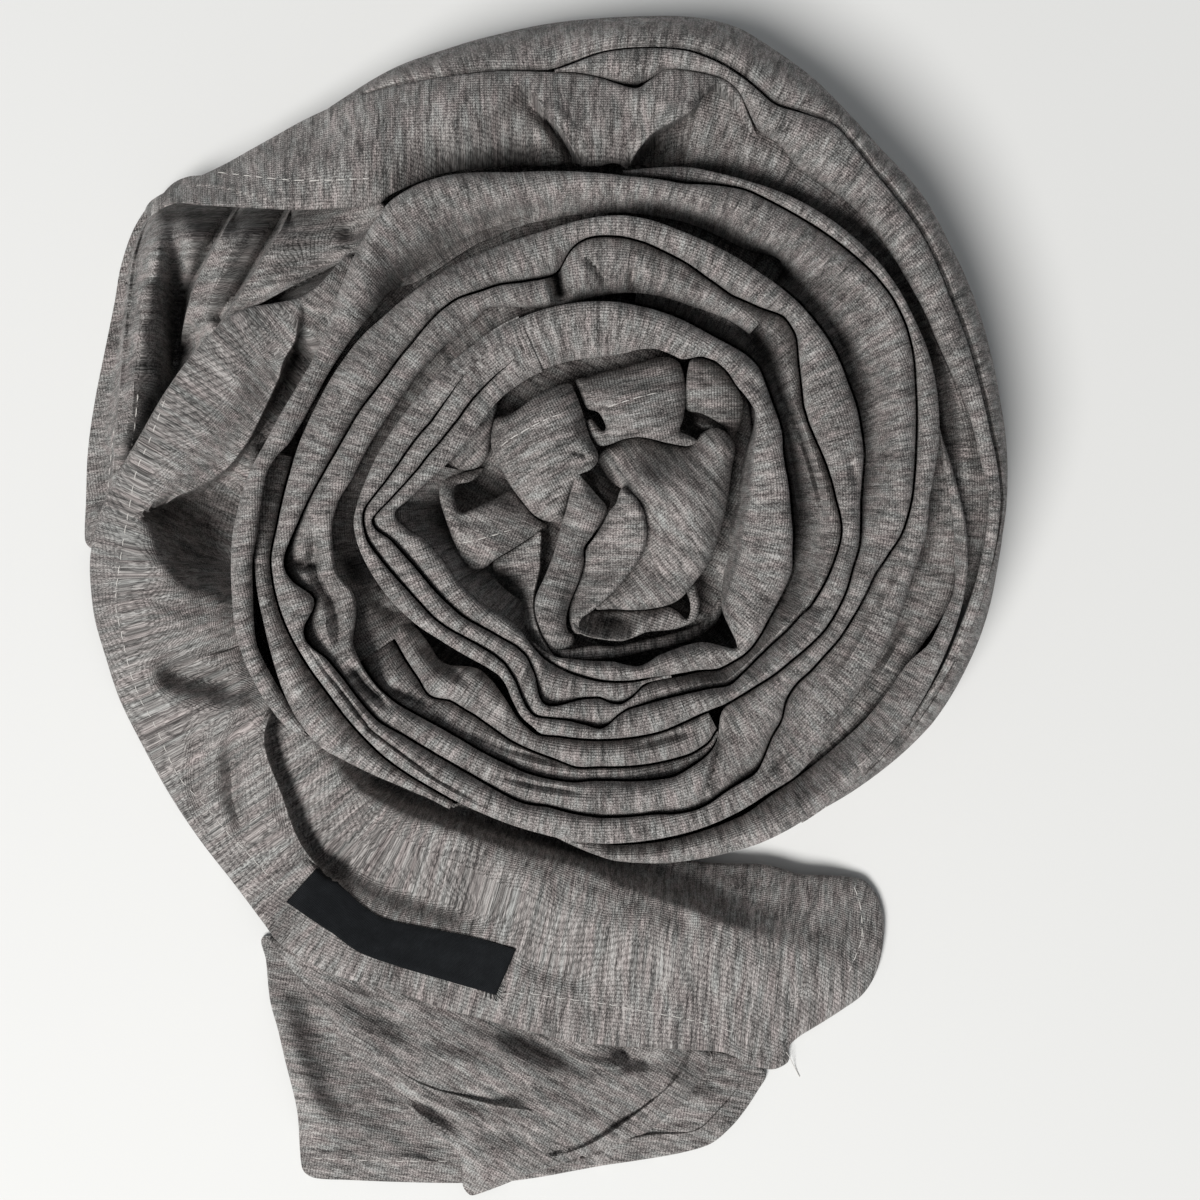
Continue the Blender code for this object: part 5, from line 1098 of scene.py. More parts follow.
TAIL = [(256, 310, 39), (282, 300, 41), (306, 292, 42), (326, 284, 42), (346, 268, 39), (224, 328, 38), (248, 326, 41),
        (272, 322, 43), (296, 318, 44), (316, 316, 42), (196, 352, 35), (222, 352, 40), (248, 352, 43), (272, 352, 44),
        (298, 358, 41), (168, 390, 31), (194, 392, 37), (220, 394, 41), (244, 394, 42), (268, 392, 38), (142, 434, 25),
        (166, 436, 33), (192, 438, 38), (214, 440, 39), (250, 448, 33), (118, 478, 18), (138, 480, 26), (160, 482, 32), (176, 484, 31),
        (210, 500, 21), (238, 490, 19), (100, 522, 11), (118, 524, 20), (140, 526, 27), (166, 528, 30), (196, 528, 20), (236, 530, 16), (91, 570, 7),
        (108, 572, 16), (130, 574, 25), (164, 578, 31), (196, 578, 26), (240, 580, 20), (92, 618, 4), (110, 618, 14), (134, 618, 23), (176, 616, 30),
        (218, 618, 29), (248, 620, 22), (104, 664, 3), (122, 662, 12), (146, 660, 20), (178, 656, 21), (222, 650, 20), (252, 660, 20), (124, 710, 3), (146, 704, 12),
        (174, 696, 20), (208, 696, 27), (240, 690, 30), (148, 756, 3), (174, 746, 12), (204, 740, 20), (228, 740, 24), (262, 716, 33),
        (174, 800, 3), (204, 786, 11), (234, 772, 18), (258, 770, 25), (204, 844, 3), (240, 826, 11), (268, 810, 19), (300, 800, 20),
        (238, 888, 4), (270, 868, 9), (300, 850, 14), (336, 830, 16), (370, 815, 18), (266, 930, 8), (300, 910, 11), (340, 885, 12), (380, 880, 13), (420, 850, 22), (456, 826, 32),
        (330, 966, 12), (386, 928, 14), (440, 900, 17), (488, 862, 27), (520, 842, 28), (396, 990, 13), (448, 955, 16), (498, 920, 21),
        (542, 885, 29), (572, 858, 25), (460, 1012, 12), (508, 972, 16), (556, 930, 22), (602, 900, 27), (630, 868, 15),
        (524, 1030, 11), (566, 990, 15), (610, 950, 21), (654, 916, 26), (680, 880, 13), (590, 1042, 10), (628, 1004, 14), (668, 966, 19),
        (712, 932, 23), (740, 880, 10), (652, 1048, 9), (686, 1014, 13), (720, 980, 16), (760, 950, 18), (790, 885, 8), (708, 1052, 8),
        (738, 1022, 10), (768, 990, 12), (800, 958, 13), (826, 890, 7), (748, 1062, 5), (776, 1032, 6), (804, 1002, 8), (836, 968, 9),
        (858, 900, 5), (784, 1060, 3), (806, 1032, 3.6), (834, 1008, 4), (862, 980, 4.6), (882, 924, 3.6)]
TAIL_EDGE = ((250, 307), (238, 312), (225, 320), (210, 334), (200, 345), (180, 370), (160, 400), (140, 435), (120, 470), (105, 500), (95, 530),
             (90, 560), (91, 590), (95, 620), (105, 655), (120, 700), (145, 750), (170, 795), (200, 840), (235, 885), (265, 925),
             (278, 942), (310, 963), (340, 977), (400, 993), (440, 1008), (475, 1017), (500, 1024), (540, 1034), (575, 1042), (625, 1047),
             (690, 1050), (720, 1052), (735, 1057), (745, 1063), (760, 1068), (775, 1069), (788, 1062), (788, 1054), (790, 1045), (800, 1036),
             (818, 1025), (840, 1011), (862, 995), (875, 975), (882, 950), (884, 920), (878, 897), (865, 881), (850, 877), (825, 875),
             (800, 874), (780, 868), (760, 864), (700, 862), (650, 852), (600, 845), (560, 832), (505, 810), (450, 788), (404, 772),
             (364, 752), (330, 722), (304, 690), (286, 656), (272, 616), (264, 570), (260, 530), (264, 482), (278, 436), (300, 398),
             (318, 376), (330, 352), (340, 326), (345, 302), (352, 284), (360, 262), (346, 256), (320, 284), (300, 297), (275, 303))
cut("tail_upper", TAIL_EDGE, TAIL, thick=1.2, spacing=4.2, rim=(5, 1.4), layer=23, node="tail_upper", drape=(0.8, 0.0), held="draped", rests="floor",
    bend=lambda x, y: tail_cloth(x, y),
    marks=(("ply", ((158, 506), (178, 496), (200, 487), (226, 470), (248, 442), (264, 412), (277, 384), (290, 354)), 5, 24.0, 44),
           ("dip", ((190, 518), (206, 536), (228, 556)), 18, 3.0), ("dip", ((168, 530), (184, 556), (206, 584)), 9, 2.0),
           ("dip", ((120, 556), (160, 566), (200, 590), (236, 604)), 13, -3.0), ("dip", ((110, 606), (150, 624), (190, 634), (240, 640)), 12, -1.6),
           ("dip", ((150, 664), (180, 676), (210, 684), (246, 694)), 15, 11.0), ("dip", ((140, 590), (170, 606), (196, 612)), 7, 1.6),
           ("dip", ((258, 694), (232, 710), (216, 740), (212, 786), (222, 830)), 8, -3.0),
           ("dip", ((238, 726), (232, 760), (234, 800), (246, 840)), 8, 5.5),
           ("dip", ((206, 712), (196, 742), (196, 790), (210, 830)), 9, 4.0),
           ("dip", ((258, 736), (256, 770), (268, 812), (288, 850)), 8, -3.0),
           ("ply", ((330, 874), (312, 858), (297, 834), (281, 790), (268, 756), (266, 730), (276, 702)), 5, 10.0, 38),
           ("dip", ((318, 848), (350, 868), (400, 890), (450, 906), (504, 928)), 16, 6.0),
           ("dip", ((330, 740), (372, 778), (410, 796), (455, 811), (505, 826), (560, 841), (620, 852)), 12, 17.0),
           ("dip", ((540, 886), (580, 902), (630, 920)), 10, 1.5),
           ("dip", ((360, 812), (430, 842), (500, 872), (570, 905)), 24, -3.0),
           ("dip", ((540, 850), (600, 876), (680, 905), (750, 934), (800, 950)), 9, -2.6), ("dip", ((590, 850), (660, 872), (740, 898), (810, 922)), 18, 3.0),
           ("dip", ((640, 852), (700, 876), (780, 900)), 6, -1.0),
           ("dip", ((700, 905), (740, 930), (776, 960)), 14, 1.6), ("dip", ((852, 908), (856, 940), (846, 970)), 8, 0.8),
           ("dip", ((800, 984), (790, 1002)), 4, 1.4), ("dip", ((728, 1040), (745, 1046), (760, 1054)), 7, 1.2),
           ("dip", ((505, 950), (545, 968), (600, 985)), 14, 2.4), ("dip", ((600, 930), (640, 950), (690, 968)), 16, -0.8),
           ("dip", ((120, 540), (118, 590), (126, 650)), 10, -1.0), ("dip", ((150, 700), (165, 740), (190, 790)), 10, 0.8),
           ("dip", ((262, 330), (250, 350), (236, 380), (214, 420), (180, 458)), 18, -2.2), ("ply", ((276, 392), (284, 362), (296, 340), (300, 316)), 4, 4.0, 16),
           ("dip", ((316, 322), (306, 346), (296, 372)), 6, -0.8)))
cut("tail_lobe", ((268, 940), (282, 958), (300, 980), (330, 1020), (350, 1055), (375, 1080), (400, 1098), (425, 1125), (445, 1140), (458, 1152),
                  (462, 1170), (463, 1186), (470, 1195), (478, 1194), (500, 1186), (530, 1174), (600, 1150), (640, 1135), (670, 1112), (690, 1092),
                  (706, 1072), (712, 1056), (700, 1044), (640, 1038), (560, 1028), (500, 1010), (440, 992), (380, 972), (320, 950), (290, 940)),
    ((270, 944, 7), (300, 948, 8), (318, 1000, 8.5), (336, 996, 10), (376, 976, 9.5), (352, 1054, 9), (384, 1040, 12), (430, 1010, 10.5),
     (398, 1096, 8.5), (438, 1076, 12.5), (490, 1030, 9.5), (444, 1138, 8), (486, 1104, 12), (524, 1066, 11.5), (560, 1036, 8.5), (466, 1180, 6),
     (526, 1136, 11.5), (570, 1086, 13), (610, 1046, 9.5), (532, 1170, 6.5), (582, 1138, 10), (620, 1092, 12.5), (642, 1050, 9), (604, 1146, 6),
     (640, 1124, 8), (668, 1086, 10), (688, 1056, 6.5), (700, 1070, 6)),
    thick=1.1, spacing=3.4, rim=(7, 3.0), grain=60, layer=24, node="tail_lobe", held="laid", rests="tail_lower", low=2.2, wobble=0.5,
    marks=(("dip", ((404, 1074), (440, 1092), (490, 1100), (540, 1088)), 17, 7.5), ("dip", ((495, 1026), (525, 1038), (552, 1052), (580, 1060)), 14, 6.0),
           ("dip", ((470, 1120), (500, 1134), (540, 1136)), 12, 3.0), ("dip", ((562, 1146), (600, 1128), (648, 1098), (690, 1062)), 8, -1.5),
           ("dip", ((556, 1120), (610, 1096), (650, 1066)), 8, 2.0), ("dip", ((600, 1132), (640, 1112), (672, 1088)), 8, 5.0), ("dip", ((400, 1050), (440, 1060), (490, 1062)), 9, -1.6),
           ("ply", ((690, 1050), (676, 1078), (640, 1110), (596, 1140), (560, 1152)), 4, 3.6, 22), ("dip", ((612, 1042), (630, 1062), (656, 1060)), 8, 4.5),
           ("dip", ((372, 1070), (410, 1098), (440, 1116), (474, 1136)), 8, 4.0), ("dip", ((330, 985), (370, 1010), (420, 1036)), 15, 4.0)))
cut("tail_lower", ((262, 938), (266, 960), (270, 1000), (278, 1030), (285, 1060), (297, 1110), (300, 1150), (303, 1170), (315, 1178), (350, 1180),
                   (400, 1182), (455, 1183), (500, 1182), (540, 1177), (600, 1166), (640, 1160), (680, 1153), (710, 1144), (730, 1128), (745, 1110),
                   (758, 1090), (766, 1074), (752, 1060), (690, 1046), (600, 1036), (500, 1012), (400, 985), (320, 955), (285, 938)),
    ((270, 950, 2.2), (300, 1166, 2.0), (400, 1178, 2.0), (300, 1060, 2.6), (340, 1100, 3.4), (420, 1150, 2.8), (600, 1160, 2.2), (680, 1148, 2.2),
     (740, 1108, 2.4), (760, 1080, 2.6), (690, 1110, 3.0), (560, 1100, 2.4), (360, 1040, 2.6), (460, 1050, 2.4), (640, 1060, 2.4), (720, 1070, 3.0)),
    thick=1.2, spacing=4.4, rim=(4, 1.0), grain=80, layer=25, node="tail_lower", held="laid", rests="floor", low=0.3, wobble=0.5,
    marks=(("dip", ((274, 980), (288, 1040), (308, 1096), (336, 1144)), 17, -5.5), ("dip", ((340, 1150), (390, 1156), (440, 1166)), 10, -2.6), ("dip", ((300, 1100), (350, 1126), (410, 1150)), 11, -1.8),
           ("dip", ((300, 990), (340, 1060), (400, 1120)), 12, 1.2), ("dip", ((560, 1150), (620, 1146), (680, 1138)), 9, -2.0),
           ("dip", ((650, 1120), (690, 1100), (720, 1086)), 10, -2.2),
           ("ply", ((738, 1068), (734, 1088), (716, 1110), (698, 1132), (660, 1134), (640, 1130)), 3.2, -1.4, 10)))

# folded edges that lie over the cloth beside them
lip("tail_edge_a", "tail_upper", ((160, 508), (178, 496), (200, 487), (226, 470), (248, 442), (264, 412), (277, 384), (290, 354)), 46, 1.0, 9)
lip("tail_edge_b", "tail_upper", ((326, 872), (312, 858), (297, 834), (281, 790), (268, 756), (266, 730), (278, 700)), 30, 2.0, 6)
lip("tail_edge_c", "tail_upper", ((276, 394), (284, 362), (296, 340), (300, 314)), 22, 1.0, 5)
lip("tail_edge_d", "tail_upper", ((250, 640), (228, 650), (206, 655), (184, 657), (164, 652)), 30, 1.6, 8)
lip("tail_edge_e", "tail_upper", ((560, 905), (500, 876), (440, 850), (384, 822), (340, 800)), 34, 1.2, 6)
lip("side_edge_a", "side_left", ((153, 212), (139, 236), (131, 265), (127, 300), (122, 350), (118, 400), (114, 450), (110, 500)), 30, 1.4, 6)
lip("side_edge_b", "side_left", ((241, 204), (226, 226), (209, 256), (193, 289), (183, 327), (178, 368)), 30, 2.2, 6)
lip("side_edge_c", "side_left", ((293, 204), (283, 224), (266, 252), (248, 281), (222, 322)), 28, 2.2, 6)
lip("side_edge_d", "side_left", ((226, 322), (262, 303), (297, 284), (330, 268), (372, 246)), 24, 3.0, 8)
lip("flap_edge_a", "top_flap", ((160, 206), (178, 192), (200, 188), (225, 190), (250, 195), (300, 202), (352, 204)), 12, 0.7, 3)
lip("flap_edge_b", "top_flap", ((627, 169), (640, 148), (655, 132), (675, 121), (693, 110), (706, 94)), 26, 1.4, 5)
lip("flap_edge_c", "top_flap", ((534, 96), (551, 118), (566, 138), (582, 167)), 24, 1.6, 5)
lip("lobe_edge_a", "tail_lobe", ((692, 1048), (676, 1078), (640, 1110), (596, 1140), (556, 1156)), 22, 1.6, 4)
lip("lobe_edge_b", "tail_lobe", ((540, 1110), (500, 1105), (460, 1095), (424, 1084), (390, 1064)), 26, 1.2, 4)
lip("lobe_edge_d", "tail_lobe", ((520, 1022), (548, 1042), (580, 1062), (612, 1070), (640, 1064), (650, 1046)), 18, 1.4, 4)
lip("lower_edge_a", "tail_lower", ((742, 1066), (736, 1088), (718, 1110), (694, 1130), (650, 1134), (610, 1142)), 14, 1.4, 3)
lip("lower_edge_b", "tail_lower", ((308, 1150), (350, 1156), (400, 1160), (450, 1164)), 12, 0.7, 3)

# ---------------------------------------------------------------- label and stitches
def tree_of(ob):
    me = ob.data
    return BVHTree.FromPolygons([v.co.copy() for v in me.vertices], [tuple(p.vertices) for p in me.polygons])


trees = {n: tree_of(bpy.data.objects[n + "_cloth"]) for n in ("tail_upper", "side_left", "top_flap", "petal_left", "petal_top", "strip_left", "tail_lower")}
EYE = Vector((0.0, EYE_Y, EYE_HEIGHT))


def land(piece, x, y):
    """Where the plan point falls on a piece's upper side, and the way that side faces."""
    ray = (Vector(tuple(place(x, y, 0.0))) - EYE).normalized()
    hit, nrm, _, _ = trees[piece].ray_cast(EYE, ray)
    if hit is None:
        return None, None
    return hit, (nrm if nrm.z > 0 else -nrm)


UP_EDGE = ((321, 863), (342, 885), (364, 906), (387, 919), (430, 928), (478, 938), (516, 949))
LOW_EDGE = ((287, 901), (310, 918), (333, 933), (360, 952), (402, 967), (452, 981.5), (496.5, 994))
ups, lows = smooth_line(UP_EDGE, 3.0), smooth_line(LOW_EDGE, 3.0)


def resample(line, n):
    d = np.concatenate([[0], np.cumsum(np.hypot(*np.diff(line, axis=0).T))])
    q = np.linspace(0, d[-1], n)
    return np.stack([np.interp(q, d, line[:, 0]), np.interp(q, d, line[:, 1])], 1)


NL, NW = 97, 21
ups, lows = resample(ups, NL), resample(lows, NL)
grid_p, grid_n = [], []
for i in range(NL):
    for j in range(NW):
        f = j / (NW - 1)
        x, y = ups[i] * (1 - f) + lows[i] * f
        hit, nrm = land("tail_upper", x, y)
        grid_p.append(hit)
        grid_n.append(nrm)
heights = np.array([p.z for p in grid_p]).reshape(NL, NW)
for _ in range(14):                                # the stiffer label bridges the cloth's small lumps
    pad = np.pad(heights, 1, mode="edge")
    heights = np.maximum(heights, (pad[:-2, 1:-1] + pad[2:, 1:-1] + pad[1:-1, :-2] + pad[1:-1, 2:]) / 4)
verts_top, verts_low, cloth_top = [], [], []
for i in range(NL):
    for j in range(NW):
        p = grid_p[i * NW + j].copy()
        e = min(i, NL - 1 - i) * 0.62, min(j, NW - 1 - j) * 0.62
        edge = min(e)
        puff = 0.10 * math.exp(-((edge - 1.3) / 0.7) ** 2) - 0.12 * math.exp(-(edge / 0.45) ** 2)
        fold = 0.30 if (0.3 < i * 0.62 < 3.2 or 0.3 < (NL - 1 - i) * 0.62 < 2.8) else 0.0
        weave = 0.035 * float(ripples(i * 1.7, j * 1.9))
        p.z = heights[i, j] + (0.62 + puff + fold + weave) * MM
        verts_top.append(p)
        q = grid_p[i * NW + j].copy()
        q.z = heights[i, j] + 0.12 * MM
        verts_low.append(q)
        cloth_top.append((j * 0.62 * MM, i * 0.62 * MM, 0.9))
faces, kq = [], NL * NW
for i in range(NL - 1):
    for j in range(NW - 1):
        a, b, c, d = i * NW + j, i * NW + j + 1, (i + 1) * NW + j + 1, (i + 1) * NW + j
        faces += [(a, b, c, d), (kq + d, kq + c, kq + b, kq + a)]
for i in range(NL - 1):
    faces += [(i * NW, (i + 1) * NW, kq + (i + 1) * NW, kq + i * NW),
              ((i + 1) * NW + NW - 1, i * NW + NW - 1, kq + i * NW + NW - 1, kq + (i + 1) * NW + NW - 1)]
for j in range(NW - 1):
    faces += [(j + 1, j, kq + j, kq + j + 1),
              ((NL - 1) * NW + j, (NL - 1) * NW + j + 1, kq + (NL - 1) * NW + j + 1, kq + (NL - 1) * NW + j)]
label = make("label", verts_top + verts_low, faces, cloth_top + cloth_top, "label", "label_weave", 60)
top_n = label.data.polygons[0].normal.z
if top_n < 0:
    label.data.flip_normals()


def threads(name, piece, lines, dash=9.0, gap=4.5, radius=0.13, lift=0.10, seed=3):
    """A row of stitches, each a short arc of thread that dips into the cloth at both ends."""
    rng = np.random.default_rng(seed)
    verts, faces, cloth = [], [], []
    for line in lines:
        pts = smooth_line(line, 1.5)
        d = np.concatenate([[0], np.cumsum(np.hypot(*np.diff(pts, axis=0).T))])
        s = rng.uniform(0, 3)
        while s + dash < d[-1]:
            ln = dash * rng.uniform(0.75, 1.15)
            qs = np.linspace(s, min(s + ln, d[-1]), 6)
            s += ln + gap * rng.uniform(0.8, 1.3)
            path = []
            for n_, q in enumerate(qs):
                hit, nrm = land(piece, np.interp(q, d, pts[:, 0]), np.interp(q, d, pts[:, 1]))
                if hit is None:
                    break
                arch = math.sin(math.pi * n_ / 5)
                path.append(hit + nrm * (lift * arch - 0.14 * (1 - arch)) * MM)
            if len(path) < 6:
                continue
            tube(path, radius * MM, verts, faces, cloth)
    return verts, faces, cloth


def tube(path, r, verts, faces, cloth, sides=6):
    base = len(verts)
    for i, p in enumerate(path):
        t = (path[min(i + 1, len(path) - 1)] - path[max(i - 1, 0)]).normalized()
        u = t.cross(Vector((0, 0, 1)))
        u = u.normalized() if u.length > 1e-6 else Vector((1, 0, 0))
        w = u.cross(t)
        for j in range(sides):
            a = 2 * math.pi * j / sides
            verts.append(p + u * (math.cos(a) * r) + w * (math.sin(a) * r))
            cloth.append((j * 0.0002, i * 0.0006, 0.7))
    n = len(path)
    for i in range(n - 1):
        for j in range(sides):
            k = (j + 1) % sides
            faces.append((base + i * sides + j, base + i * sides + k, base + (i + 1) * sides + k, base + (i + 1) * sides + j))
    faces.append(tuple(base + sides - 1 - j for j in range(sides)))
    faces.append(tuple(base + (n - 1) * sides + j for j in range(sides)))


sewn = {}
for name, piece, lines, kw in (
        ("stitches_tail", "tail_upper",
         (((165, 400), (150, 440), (137, 470), (130, 505), (122, 550), (116, 600), (122, 635), (130, 670), (141, 700), (155, 725),
           (178, 775), (205, 805), (228, 833), (245, 850), (265, 872), (286, 893)),
          ((500, 994), (525, 993), (560, 998), (600, 1003), (640, 1010), (700, 1022), (740, 1034)),
          ((853, 884), (860, 905), (862, 935), (856, 955), (845, 980))), dict(seed=3)),
        ("stitches_side", "side_left", (((115, 425), (111, 458), (108, 492)), ((138, 392), (134, 430), (128, 462))), dict(seed=4)),
        ("stitches_flap", "top_flap", (((215, 172), (250, 176), (290, 180), (330, 180), (372, 178)),), dict(seed=5)),
        ("stitches_petal_left", "petal_left", (((500, 447), (512, 438), (533, 426), (552, 417), (569, 412)),), dict(seed=6, dash=10, gap=2.5)),
        ("stitches_petal_top", "petal_top", (((605, 408), (620, 403), (640, 397), (668, 390)),), dict(seed=7, dash=11, gap=2.5)),
        ("stitches_strip", "strip_left", (((462, 543), (480, 539), (497, 534), (523, 526)),), dict(seed=8)),
        ("stitches_lower", "tail_lower", (((312, 1158), (360, 1160), (400, 1161), (452, 1161)),), dict(seed=9))):
    v, f, c = threads(name, piece, lines, **kw)
    if name == "stitches_tail":                     # a loose end of thread at the hem's corner
        hit, _ = land("tail_upper", 786, 1052)
        start = hit if hit is not None else Vector(tuple(place(786, 1052, 4)))
        ends = [start] + [Vector(tuple(place(x, y, z))) for x, y, z in ((789, 1056, 3.2), (792, 1062, 1.8), (794.5, 1067, 0.7), (797, 1072, 0.35), (799.5, 1077, 0.3))]
        tube(ends, 0.10 * MM, v, f, c)
    if v:
        row = make(name, v, f, c)
        row.parent = bpy.data.objects[piece + "_cloth"]
        sewn[name] = row

# loose yarn ends of the weave at the label's near corner
fray = [], [], []
for x, y, x_end, y_end, rise in ((490, 991, 491, 999, 0.35), (493, 992, 497, 1000, 0.6), (496, 992, 503, 998, 0.8), (498, 989, 506, 992, 0.5),
                                 (486, 990, 486, 997, 0.3), (500, 984, 505, 986, 0.35)):
    path = []
    for f in (0.0, 0.33, 0.66, 1.0):
        hit, nrm = land("tail_upper", x + (x_end - x) * f, y + (y_end - y) * f + 1.2 * math.sin(math.pi * f))
        if hit is not None:
            path.append(hit + nrm * (0.62 + (rise - 0.62) * f) * MM)
    if len(path) == 4:
        tube(path, 0.12 * MM, *fray)
if fray[0]:
    make("label_fray", *fray, slot="label_weave").parent = label

# ---------------------------------------------------------------- materials
class Graph:
    def __init__(self, name):
        self.m = bpy.data.materials.new(name)
        self.m.use_nodes = True
        self.t = self.m.node_tree
        self.bsdf = self.t.nodes["Principled BSDF"]

    def node(self, kind, **kw):
        n = self.t.nodes.new(kind)
        for k_, v_ in kw.items():
            setattr(n, k_, v_)
        return n

    def put(self, socket, value):
        if isinstance(value, bpy.types.NodeSocket):
            self.t.links.new(value, socket)
        else:
            socket.default_value = value

    def math(self, op, a, b=0.0, c=None, clamp=False):
        n = self.node("ShaderNodeMath", operation=op, use_clamp=clamp)
        self.put(n.inputs[0], a)
        self.put(n.inputs[1], b)
        if c is not None:
            self.put(n.inputs[2], c)
        return n.outputs[0]

    def vec(self, x, y, z):
        n = self.node("ShaderNodeCombineXYZ")
        for s_, v_ in zip(n.inputs, (x, y, z)):
            self.put(s_, v_)
        return n.outputs[0]

    def noise(self, v, scale=1.0, detail=2.0, rough=0.55, distort=0.0):
        n = self.node("ShaderNodeTexNoise")
        self.put(n.inputs["Vector"], v)
        n.inputs["Scale"].default_value = scale
        n.inputs["Detail"].default_value = detail
        n.inputs["Roughness"].default_value = rough
        n.inputs["Distortion"].default_value = distort
        return n.outputs["Fac"]

    def ramp(self, f, stops):
        n = self.node("ShaderNodeValToRGB")
        self.put(n.inputs[0], f)
        e = n.color_ramp.elements
        while len(e) < len(stops):
            e.new(0.5)
        for el, (p, c) in zip(e, stops):
            el.position = p
            el.color = (*c, 1.0)
        return n.outputs[0]

    def span(self, f, lo, hi, a=0.0, b=1.0):
        n = self.node("ShaderNodeMapRange", clamp=True)
        for s_, v_ in zip(n.inputs, (f, lo, hi, a, b)):
            self.put(s_, v_)
        return n.outputs[0]


def jersey():
    g = Graph("jersey_cloth")
    at = g.node("ShaderNodeAttribute", attribute_name="cloth")
    sep = g.node("ShaderNodeSeparateXYZ")
    g.t.links.new(at.outputs["Vector"], sep.inputs[0])
    u, v, w = sep.outputs
    # heather: long pale and dark fibres lying across the strip, of several sizes
    wander = g.math("MULTIPLY", g.math("SUBTRACT", g.noise(g.vec(g.math("MULTIPLY", u, 60.0), g.math("MULTIPLY", v, 60.0), w), 1.0, 1.0), 0.5), 0.0022)
    v2 = g.math("ADD", v, wander)
    long_ = g.noise(g.vec(g.math("MULTIPLY", u, 100.0), g.math("MULTIPLY", v2, 620.0), g.math("MULTIPLY", w, 40.0)), 1.0, 2.0, 0.6)
    course = g.noise(g.vec(g.math("MULTIPLY", u, 150.0), g.math("MULTIPLY", v2, 1900.0), g.math("ADD", w, 23.0)), 1.0, 1.0, 0.5)
    short = g.noise(g.vec(g.math("MULTIPLY", u, 420.0), g.math("MULTIPLY", v2, 1700.0), g.math("ADD", w, 4.0)), 1.0, 2.0, 0.6)
    cloud = g.noise(g.vec(g.math("MULTIPLY", u, 70.0), g.math("MULTIPLY", v, 90.0), g.math("ADD", w, 9.0)), 1.0, 2.0, 0.6)
    speck = g.noise(g.vec(g.math("MULTIPLY", u, 3100.0), g.math("MULTIPLY", v, 3300.0), w), 1.0, 2.0, 0.7)
    cell = g.node("ShaderNodeTexWhiteNoise", noise_dimensions="3D")
    g.t.links.new(g.vec(g.math("FLOOR", g.math("MULTIPLY", u, 2.0 / WALE)), g.math("FLOOR", g.math("MULTIPLY", v, 1 / 0.00027)), w), cell.inputs["Vector"])
    cell = cell.outputs["Value"]
    # knit: ribs along the strip, each a column of loops
    col = g.math("FRACT", g.math("MULTIPLY", u, 1.0 / WALE))
    side = g.math("ABSOLUTE", g.math("SUBTRACT", g.math("MULTIPLY", col, 2.0), 1.0))
    furrow = g.span(side, 0.45, 1.0)
    loops = g.math("SINE", g.math("ADD", g.math("MULTIPLY", v, 2 * math.pi / 0.00056), g.math("MULTIPLY", side, 2.6)))
    loops = g.math("MULTIPLY_ADD", loops, 0.5, 0.5)

    def about(f, share):
        return g.math("MULTIPLY", g.math("SUBTRACT", f, 0.5), share)
    dark = g.span(course, 0.56, 0.72)                 # now and then a dark yarn
    tone = g.math("ADD", g.math("ADD", about(long_, 1.25), about(short, 0.85)), g.math("ADD", about(cloud, 0.55), about(speck, 1.5)))
    tone = g.math("ADD", tone, g.math("ADD", about(course, 0.95), about(cell, 0.55)))
    tone = g.math("ADD", tone, g.math("MULTIPLY", dark, -0.20))
    # painted shade: the colour is darker in the furrows between ribs and lighter on the loops' crowns, following the
    # knit's relief as the bump does
    tone = g.math("ADD", g.math("ADD", tone, 0.565), g.math("ADD", g.math("MULTIPLY", furrow, -0.22), about(loops, 0.16)))
    col_ = g.ramp(tone, ((0.0, (0.040, 0.038, 0.037)), (0.36, (0.150, 0.142, 0.138)), (0.62, (0.248, 0.236, 0.229)), (1.0, (0.480, 0.462, 0.450))))
    # some fibres are browner, some bluer
    hue = g.noise(g.vec(g.math("MULTIPLY", u, 160.0), g.math("MULTIPLY", v2, 420.0), g.math("ADD", w, 17.0)), 1.0, 1.0)
    mix = g.node("ShaderNodeMix", data_type="RGBA", blend_type="MULTIPLY")
    g.put(mix.inputs["Factor"], 1.0)
    g.put(mix.inputs["A"], col_)
    g.put(mix.inputs["B"], g.ramp(hue, ((0.30, (0.955, 1.0, 1.0)), (0.50, (1.0, 0.985, 0.98)), (0.72, (1.04, 0.965, 0.965)))))
    g.t.links.new(mix.outputs["Result"], g.bsdf.inputs["Base Color"])
    high = g.math("ADD", g.math("MULTIPLY", furrow, -0.9), g.math("ADD", g.math("MULTIPLY", loops, 0.45), g.math("MULTIPLY", speck, 0.9)))
    high = g.math("ADD", high, g.math("MULTIPLY", short, 0.8))
    bump = g.node("ShaderNodeBump")
    bump.inputs["Strength"].default_value = 0.75
    bump.inputs["Distance"].default_value = 0.00020
    g.t.links.new(high, bump.inputs["Height"])
    g.t.links.new(bump.outputs["Normal"], g.bsdf.inputs["Normal"])
    g.put(g.bsdf.inputs["Roughness"], g.span(tone, 0.2, 0.8, 0.92, 0.84))
    g.bsdf.inputs["Specular IOR Level"].default_value = 0.25
    g.bsdf.inputs["Sheen Weight"].default_value = 0.12
    g.bsdf.inputs["Sheen Roughness"].default_value = 0.45
    g.bsdf.inputs["Sheen Tint"].default_value = (0.9, 0.88, 0.86, 1.0)
    return g.m


